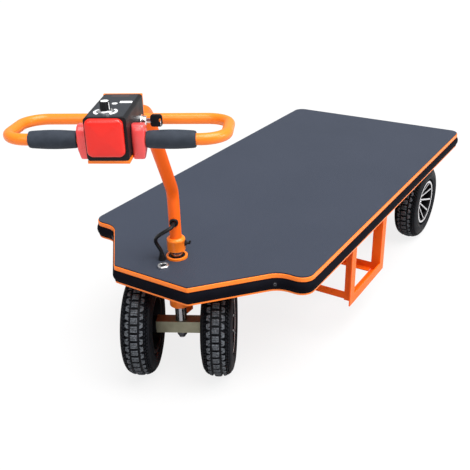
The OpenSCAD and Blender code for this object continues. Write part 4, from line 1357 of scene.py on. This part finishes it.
@dataclass
class Wheel:
    """A wheel: a block-tread tyre on a deep spoked rim. Its own frame has Z outward and Y up.

    Attributes:
        axle: Which axle it is on.
        side: Which side it is on.
        ribs: Where the side wall's ribs start and end, by radius.
        sipe_wall: Where a block's slots start and end, as shares of its half length.
        sipe_floor: Where their floors do.
        lugs: The lugs beside the grooves: place and length as shares of a pitch and a block, and skew.
        knobs: Where the rows of shoulder knobs start and end, across the tread.
        band_in: Points of the rim band's inner edge, out from its bore and down from its face.
        band_out: Points of its outer edge, in from the lip and down from the face.
        hub_cap: Points of the hub's cap: radius, and height from the hub's face.
        valve: Profile of the valve.
    """

    axle: Axle
    side: Side
    radius: float = 0.160
    width: float = 0.097
    bead_r: float = 0.0861
    bead_w: float = 0.070
    power: float = 2.05
    tuck_power: int = 40
    section_steps: int = 90
    section_power: float = 1.9
    tyre_steps: int = 160
    tread_end: float = 0.0425
    tread_fade: float = 0.0045
    ribs: Profile = ((0.1015, 0.1050), (0.1160, 0.1190))
    rib_h: float = 0.0013
    blocks: int = 40
    gap: float = 0.0072
    groove_at: float = 0.0138
    groove_w: float = 0.0076
    groove_depth: float = 0.0062
    block_edge: float = 0.12
    row_shares: tuple[float, float] = (0.6, 0.4)
    chamfer: float = 0.0013
    foot_shares: tuple[float, float] = (0.08, 0.06)
    foot_drop: float = 0.0008
    sipe_wall: tuple[float, float] = (0.22, 0.46)
    sipe_floor: tuple[float, float] = (0.28, 0.40)
    sipe_depth: float = 0.0022
    lug_end: float = 0.0275
    lugs: tuple[tuple[float, float, float], ...] = ((0.30, 0.62, 0.028), (0.78, 0.34, -0.020))
    knobs: Profile = ((0.0296, 0.0336), (0.0352, 0.0390))
    knob_places: tuple[float, float] = (0.15, 0.65)
    knob_shift: float = 0.2
    knob_l: float = 0.42
    knob_skew: float = 0.02
    rim_r: float = 0.086
    rim_wall: float = 0.004
    lip_h: float = 0.008
    lip_z: float = 0.043
    lip_back_z: float = 0.0388
    seat_z: float = 0.0354
    band_in: Profile = ((0.0, 0.012), (0.0, 0.0030), (0.0008, 0.0012), (0.0026, 0.0002))
    band_out: Profile = ((0.0050, 0.0), (0.0028, 0.0005), (0.0, 0.0030))
    disc_t: float = 0.012
    spokes: int = 10
    spoke_turn: float = -12.0
    spoke_root: float = 0.011
    spoke_tip: float = 0.008
    spoke_edge: float = 0.0022
    spoke_steps: int = 8
    face_share: float = 0.66
    flare: float = 0.6
    flare_start: float = 0.82
    root_z: float = 0.011
    tip_z: float = 0.040
    hub_r: float = 0.027
    hub_in: float = 0.042
    hub_out: float = 0.016
    hub_edge: float = 0.004
    hub_cap: Profile = ((0.0165, 0.0), (0.0160, -0.0012), (0.0150, -0.0012), (0.0146, -0.0002),
                        (0.0060, 0.0002))
    hub_bolts: int = 5
    hub_bolt: Fastener = Fastener(0.006, 0.0030)
    hub_bolt_r: float = 0.0196
    hub_bolt_sink: float = 0.0004
    valve: Profile = ((0.0052, -0.006), (0.0048, 0.004), (0.0030, 0.008), (0.0030, 0.020), (0.0038, 0.0205),
                      (0.0038, 0.0270), (0.0020, 0.0275))
    valve_r: float = 0.0765
    valve_at: float = 2.5
    valve_lean: float = -0.25

    def label(self) -> str:
        """The wheel's name in the frame."""
        return f"{self.axle.value}_{self.side.value}"

    def body(self) -> Body:
        """The body that it rides on."""
        return Body(f"{self.label()}_wheel")

    def hand(self) -> int:
        """1 on the left, and -1 on the right."""
        return 1 if self.side is Side.LEFT else -1

    def place(self) -> Matrix:
        """The wheel's frame, from its joint.

        Returns:
            The frame's matrix.
        """
        spin = joint(f"{self.label()}_spin")
        out = Vector(spin["axis"]) * self.hand()
        up = Vector((0.0, 0.0, 1.0))
        turn = Matrix((up.cross(out), up, out)).transposed()
        return Matrix.Translation(spin["pos_m"]) @ turn.to_4x4()

    def surface(self, share: float) -> tuple[float, float]:
        """A point of the tyre's section.

        Args:
            share: Its place from bead to bead, from -1 to 1.

        Returns:
            Its radius and its place across the tread.
        """
        s = abs(share)
        r = self.bead_r + (self.radius - self.bead_r) * (1 - s ** self.power) ** (1 / self.power)
        tuck = 1 - (1 - self.bead_w / self.width) * s ** self.tuck_power
        return r, self.width / 2 * math.sin(math.pi / 2 * share) * tuck

    def below(self, share: float, depth: float) -> tuple[float, float]:
        """A point of the section, sunk below the surface.

        Args:
            share: Its place from bead to bead, from -1 to 1.
            depth: How deep it is sunk.

        Returns:
            Its radius and its place across the tread.
        """
        step = 0.004
        a, b = self.surface(max(share - step, -1.0)), self.surface(min(share + step, 1.0))
        way = Vector((b[0] - a[0], b[1] - a[1])).normalized()
        r, z = self.surface(share)
        return r - way.y * depth, z + way.x * depth

    def across(self, z: float) -> float:
        """The share of the section at a place across the tread."""
        return math.asin(z / (self.width / 2)) / (math.pi / 2)

    def block_depth(self, u: float, v: float, sipes: bool) -> float:
        """How deep a point of a tread block lies below the tread.

        Args:
            u: Its place along the block, from -1 to 1. Past that it is on the block's foot.
            v: Its place across the block, from 0 to 1. Past that it is on the foot too.
            sipes: Whether the block has slots.

        Returns:
            The depth.
        """
        if abs(u) > 1 or not 0 <= v <= 1:
            return self.groove_depth + self.foot_drop
        if abs(u) == 1 or v in (0.0, 1.0):
            return self.chamfer
        if sipes and self.sipe_floor[0] <= abs(u) <= self.sipe_floor[1]:
            return self.sipe_depth
        return 0.0

    def block(self, draft: Draft, turn: float, length: float, span: tuple[float, float], skew: float = 0.0,
              sipes: bool = False, coat: int = 1) -> None:
        """Adds a tread block with chamfered edges, its ends in the near-black side-wall rubber as painted
        shade in the gaps.

        Args:
            draft: The mesh to add it to.
            turn: Its angle round the wheel.
            length: Its length round the wheel.
            span: Where it starts and ends across the tread.
            skew: How far its outer end is turned, as an angle.
            sipes: Whether it has thin slots across it.
            coat: The finish's number.
        """
        half, edge, (foot_u, foot_v) = length / 2 / self.radius, self.block_edge, self.foot_shares
        slots = sorted(side * u for side in (-1, 1) for u in (*self.sipe_wall, *self.sipe_floor))
        along = [-1.0, edge - 1, *(slots if sipes else [0.0]), 1 - edge, 1.0]
        rows = []
        for u in (-1 - foot_u, *along, 1 + foot_u):
            row = []
            for v in (1 + foot_v, 1.0, 1 - edge, *self.row_shares, edge, 0.0, -foot_v):
                z = span[0] + (span[1] - span[0]) * v
                r, y = self.below(self.across(z), self.block_depth(u, v, sipes))
                a = turn + half * u + skew * v
                row.append((r * math.cos(a), r * math.sin(a), y))
            rows.append(row)
        # The block's ends take the side wall's near-black rubber: painted shade in the gaps between blocks.
        coats = [0] + [coat] * (len(along) - 1) + [0]
        draft.skin(np.array(rows), closed=False, matrix=self.place(), coat=coats)

    def carcass(self) -> list[tuple[float, float]]:
        """The tyre's section under its tread, with ribs on the side walls.

        Returns:
            Radius and place across the tread of its points.
        """
        profile = []
        for t in np.linspace(-1.0, 1.0, self.section_steps + 1):
            share = math.copysign(1 - (1 - abs(t)) ** self.section_power, t)
            radius, z = self.surface(share)
            fade = min(max((self.tread_end - abs(z)) / self.tread_fade, 0.0), 1.0)
            depth = self.groove_depth * fade * fade * (3 - 2 * fade)
            if fade == 0 and any(low < radius < high for low, high in self.ribs):
                depth = -self.rib_h
            profile.append(self.below(share, depth))
        return profile

    def build_tyre(self) -> None:
        """The tyre: a round carcass with three kinds of tread block on it."""
        draft = Draft()
        draft.lathe(self.carcass(), self.tyre_steps, self.place(), loop=True)
        pitch = FULL_TURN / self.blocks
        long = pitch * self.radius - self.gap
        inner, outer = self.groove_at - self.groove_w / 2, self.groove_at + self.groove_w / 2
        for k in range(self.blocks):
            self.block(draft, k * pitch, long, (-inner, inner), sipes=True)
            for side in (1, -1):
                for part, share, skew in self.lugs:
                    lug = (side * outer, side * self.lug_end)
                    self.block(draft, (k + part) * pitch, long * share, lug, skew)
                for row, (start, end) in enumerate(self.knobs):
                    span = (side * start, side * end)
                    for part in self.knob_places:
                        turn = (k + part + self.knob_shift * row) * pitch
                        self.block(draft, turn, long * self.knob_l, span, self.knob_skew, coat=0)
        draft.piece(f"tread_{self.label()}", [WALL_AND_GAP_SHADE, TREAD], self.body(), [f"tyre_{self.label()}"])

    def spoke(self, draft: Draft, turn: Matrix) -> None:
        """Adds a spoke that slopes in from lip to hub, with a bright face and dark flanks.

        Args:
            draft: The mesh to add it to.
            turn: The wheel's frame, turned to the spoke.
        """
        root, tip = self.hub_r / 2, self.rim_r - self.rim_wall / 2
        flank = [(1.0, self.disc_t), (1.0, self.spoke_edge), (self.face_share, 0.0)]
        rows = []
        for aside, down in [(-a, b) for a, b in flank] + flank[::-1]:
            row = []
            for t in np.linspace(0.0, 1.0, self.spoke_steps + 1):
                flare = self.flare * max(t - self.flare_start, 0.0) / (1 - self.flare_start)
                width = (self.spoke_root + (self.spoke_tip - self.spoke_root) * t) * (1 + flare)
                z = self.root_z + (self.tip_z - self.root_z) * t - down
                row.append((root + (tip - root) * t, aside * width / 2, z))
            rows.append(row)
        bright, dark = 0, 1
        coats = [dark, dark, bright, dark, dark, dark]
        draft.skin(np.array(rows), closed=False, matrix=turn, coat=coats, loop=True)

    def build_band(self, draft: Draft) -> None:
        """Adds the rim's band: dark, with a bright outer edge.

        Args:
            draft: The mesh to add it to.
        """
        bore, lip, z = self.rim_r - self.rim_wall, self.rim_r + self.lip_h, self.lip_z
        half = [(bore + out, z - down) for out, down in self.band_in]
        half += [(lip - inside, z - down) for inside, down in self.band_out]
        half += [(lip, self.lip_back_z), (self.rim_r, self.seat_z)]
        profile = half + [(r, -y) for r, y in reversed(half)]
        bright, dark = 0, 1
        coats = [dark] * 2 + [bright] * 3 + [dark] * 13
        draft.lathe(profile, 96, self.place(), coats, loop=True)

    def build_hub(self, draft: Draft) -> None:
        """Adds the hub, with a bright face, a dark cap and bolts.

        Args:
            draft: The mesh to add it to.
        """
        place, r, out = self.place(), self.hub_r, self.hub_out
        profile = [(r, -self.hub_in), (r, out - self.hub_edge), (r - self.hub_edge, out)]
        profile += [(cap_r, out + up) for cap_r, up in self.hub_cap]
        bright, dark = 0, 1
        draft.lathe(profile, 64, place, [dark] + [bright] * 3 + [dark] * 3)
        for turn in around(place, self.hub_bolts, math.pi / self.hub_bolts):
            seat = Matrix.Translation((self.hub_bolt_r, 0.0, out - self.hub_bolt_sink))
            self.hub_bolt.build(draft, turn @ seat)

    def build_rim(self) -> None:
        """The rim: a band, spokes, hub and valve."""
        phase = math.radians(self.spoke_turn) * self.hand()
        draft = Draft()
        self.build_band(draft)
        for turn in around(self.place(), self.spokes, phase):
            self.spoke(draft, turn)
        self.build_hub(draft)
        turn = Matrix.Rotation(phase + FULL_TURN * self.valve_at / self.spokes, 4, "Z")
        seat = facing((self.valve_r, 0.0, 0.0), (self.valve_lean, 0.0, 1.0))
        draft.lathe(self.valve, 16, self.place() @ turn @ seat, 1)
        draft.piece(f"wheel_rim_{self.label()}", [ALLOY, POCKET], self.body(), [f"rim_{self.label()}"],
                    crease=30.0)

    def build(self) -> None:
        """Makes the tyre and the rim."""
        self.build_tyre()
        self.build_rim()


def by_ray(tree: bpy.types.NodeTree, camera: float, gloss: float, light: float) -> bpy.types.NodeSocket:
    """A value that depends on the ray: one for the camera's, one for glossy ones, one for the rest.

    Args:
        tree: The node tree to add to.
        camera: The value for the camera's rays.
        gloss: The value for glossy rays.
        light: The value for all others.

    Returns:
        The value's socket.
    """
    path = tree.nodes.new("ShaderNodeLightPath")
    found = light
    for ray, value in (("Is Glossy Ray", gloss), ("Is Camera Ray", camera)):
        node = tree.nodes.new("ShaderNodeMix")
        tree.links.new(path.outputs[ray], node.inputs["Factor"])
        if isinstance(found, bpy.types.NodeSocket):
            tree.links.new(found, node.inputs["A"])
        else:
            node.inputs["A"].default_value = found
        node.inputs["B"].default_value = value
        found = node.outputs["Result"]
    return found


def stand(name: str, data: bpy.types.ID, place: Matrix = Matrix.Identity(4)) -> bpy.types.Object:
    """Puts something of the studio's in the scene.

    Args:
        name: Its name.
        data: Its mesh, lamp or camera.
        place: Where it stands.

    Returns:
        The object.
    """
    made = bpy.data.objects.new(name, data)
    made.matrix_world = place
    bpy.context.scene.collection.objects.link(made)
    return made


@dataclass(frozen=True)
class SoftBox:
    """A square soft box.

    Attributes:
        name: Its name.
        place: Where it stands.
        aim: Where it points.
        power: Its power in watts.
        size: Its side.
    """

    name: str
    place: tuple[float, float, float]
    aim: tuple[float, float, float]
    power: float
    size: float = 2.0

    def build(self) -> None:
        """Puts the box in the scene."""
        data = bpy.data.lights.new(self.name, "AREA")
        data.shape = "SQUARE"
        data.size = self.size
        data.energy = self.power
        stand(self.name, data, facing(self.place, Vector(self.place) - Vector(self.aim)))


@dataclass
class Studio:
    """Floor, light and camera.

    The camera's heading, pitch and roll are in degrees, and its focal length is in pixels of a picture
    470 pixels wide.
    """

    place: tuple[float, float, float] = (2.23425, 1.11073, 0.95902)
    yaw: float = 212.585
    pitch: float = 26.508
    roll: float = -1.464
    focal_px: float = 680.875
    picture_px: float = 470.0
    sensor: float = 36.0
    near: float = 0.05
    far: float = 200.0
    ground: float = -0.400
    floor_size: float = 60.0
    floor_white: float = 0.78
    floor_glow: float = 1.06
    floor_tone: float = 0.45
    sky_light: float = 0.26
    sky_gloss: float = 0.45
    ceiling: float = 6.0
    ceiling_z: float = 3.0
    ceiling_spread: float = 55.0
    ceiling_way: tuple[float, float, float] = (-0.05, 0.35, 1.0)
    soft_boxes: tuple[SoftBox, ...] = (SoftBox("left_box", (-0.6, 4.2, 1.8), (0.2, 0.0, 0.0), 84.0),
                                       SoftBox("front_box", (4.2, 0.6, 2.6), (0.4, 0.0, -0.1), 48.0))

    def build_camera(self) -> None:
        """The camera, at the photograph's view."""
        yaw, pitch, roll = (math.radians(a) for a in (self.yaw, self.pitch, self.roll))
        ahead = Vector((math.cos(yaw) * math.cos(pitch), math.sin(yaw) * math.cos(pitch), -math.sin(pitch)))
        right = ahead.cross(Vector((0.0, 0.0, 1.0))).normalized()
        above = right.cross(ahead)
        aside = right * math.cos(roll) + above * math.sin(roll)
        upward = above * math.cos(roll) - right * math.sin(roll)
        turn = Matrix((aside, upward, -ahead)).transposed().to_4x4()
        data = bpy.data.cameras.new("camera")
        data.sensor_width = self.sensor
        data.lens = self.focal_px * self.sensor / self.picture_px
        data.clip_start = self.near
        data.clip_end = self.far
        bpy.context.scene.camera = stand("camera", data, Matrix.Translation(self.place) @ turn)

    def build_floor(self) -> None:
        """A pale floor that keeps the shadow."""
        half = self.floor_size / 2
        mesh = bpy.data.meshes.new("floor")
        corners = [(x * half, y * half, self.ground) for x, y in ((-1, -1), (1, -1), (1, 1), (-1, 1))]
        mesh.from_pydata(corners, [], [(0, 1, 2, 3)])
        material = bpy.data.materials.new("pale_floor")
        material.use_nodes = True
        tree = material.node_tree
        tree.nodes.clear()
        matt = tree.nodes.new("ShaderNodeBsdfDiffuse")
        matt.inputs["Color"].default_value = (*[self.floor_tone] * 3, 1.0)
        glow = tree.nodes.new("ShaderNodeEmission")
        glow.inputs["Strength"].default_value = self.floor_glow
        mix = tree.nodes.new("ShaderNodeMixShader")
        output = tree.nodes.new("ShaderNodeOutputMaterial")
        tree.links.new(by_ray(tree, self.floor_white, 0.0, 0.0), mix.inputs[0])
        tree.links.new(matt.outputs[0], mix.inputs[1])
        tree.links.new(glow.outputs[0], mix.inputs[2])
        tree.links.new(mix.outputs[0], output.inputs["Surface"])
        mesh.materials.append(material)
        stand("floor", mesh)

    def build_sky(self) -> None:
        """An even white surround, dimmer as a light than it looks."""
        world = bpy.data.worlds.new("surround")
        world.use_nodes = True
        back = next(n for n in world.node_tree.nodes if n.type == "BACKGROUND")
        back.inputs["Color"].default_value = (1.0, 1.0, 1.0, 1.0)
        strength = by_ray(world.node_tree, 1.0, self.sky_gloss, self.sky_light)
        world.node_tree.links.new(strength, back.inputs["Strength"])
        bpy.context.scene.world = world

    def build_ceiling(self) -> None:
        """A wide, even light from above."""
        data = bpy.data.lights.new("ceiling", "SUN")
        data.energy = self.ceiling
        data.angle = math.radians(self.ceiling_spread)
        stand("ceiling", data, facing((0.0, 0.0, self.ceiling_z), self.ceiling_way))

    def build(self) -> None:
        """Camera first, then floor, surround and lights."""
        self.build_camera()
        self.build_floor()
        self.build_sky()
        self.build_ceiling()
        for soft_box in self.soft_boxes:
            soft_box.build()
        bpy.context.scene.view_settings.view_transform = "Standard"


def main() -> None:
    """Builds the studio and the trolley, piece by piece."""
    logging.basicConfig(level=logging.INFO, format="%(name)s: %(message)s")
    Studio().build()
    assemblies = [Column(), Deck(), UnderFrame(), ControlHead()]
    assemblies += [Wheel(axle, side) for axle in Axle for side in Side]
    for assembly in assemblies:
        LOG.info("building %s", type(assembly).__name__)
        assembly.build()


if __name__ == "__main__":
    main()
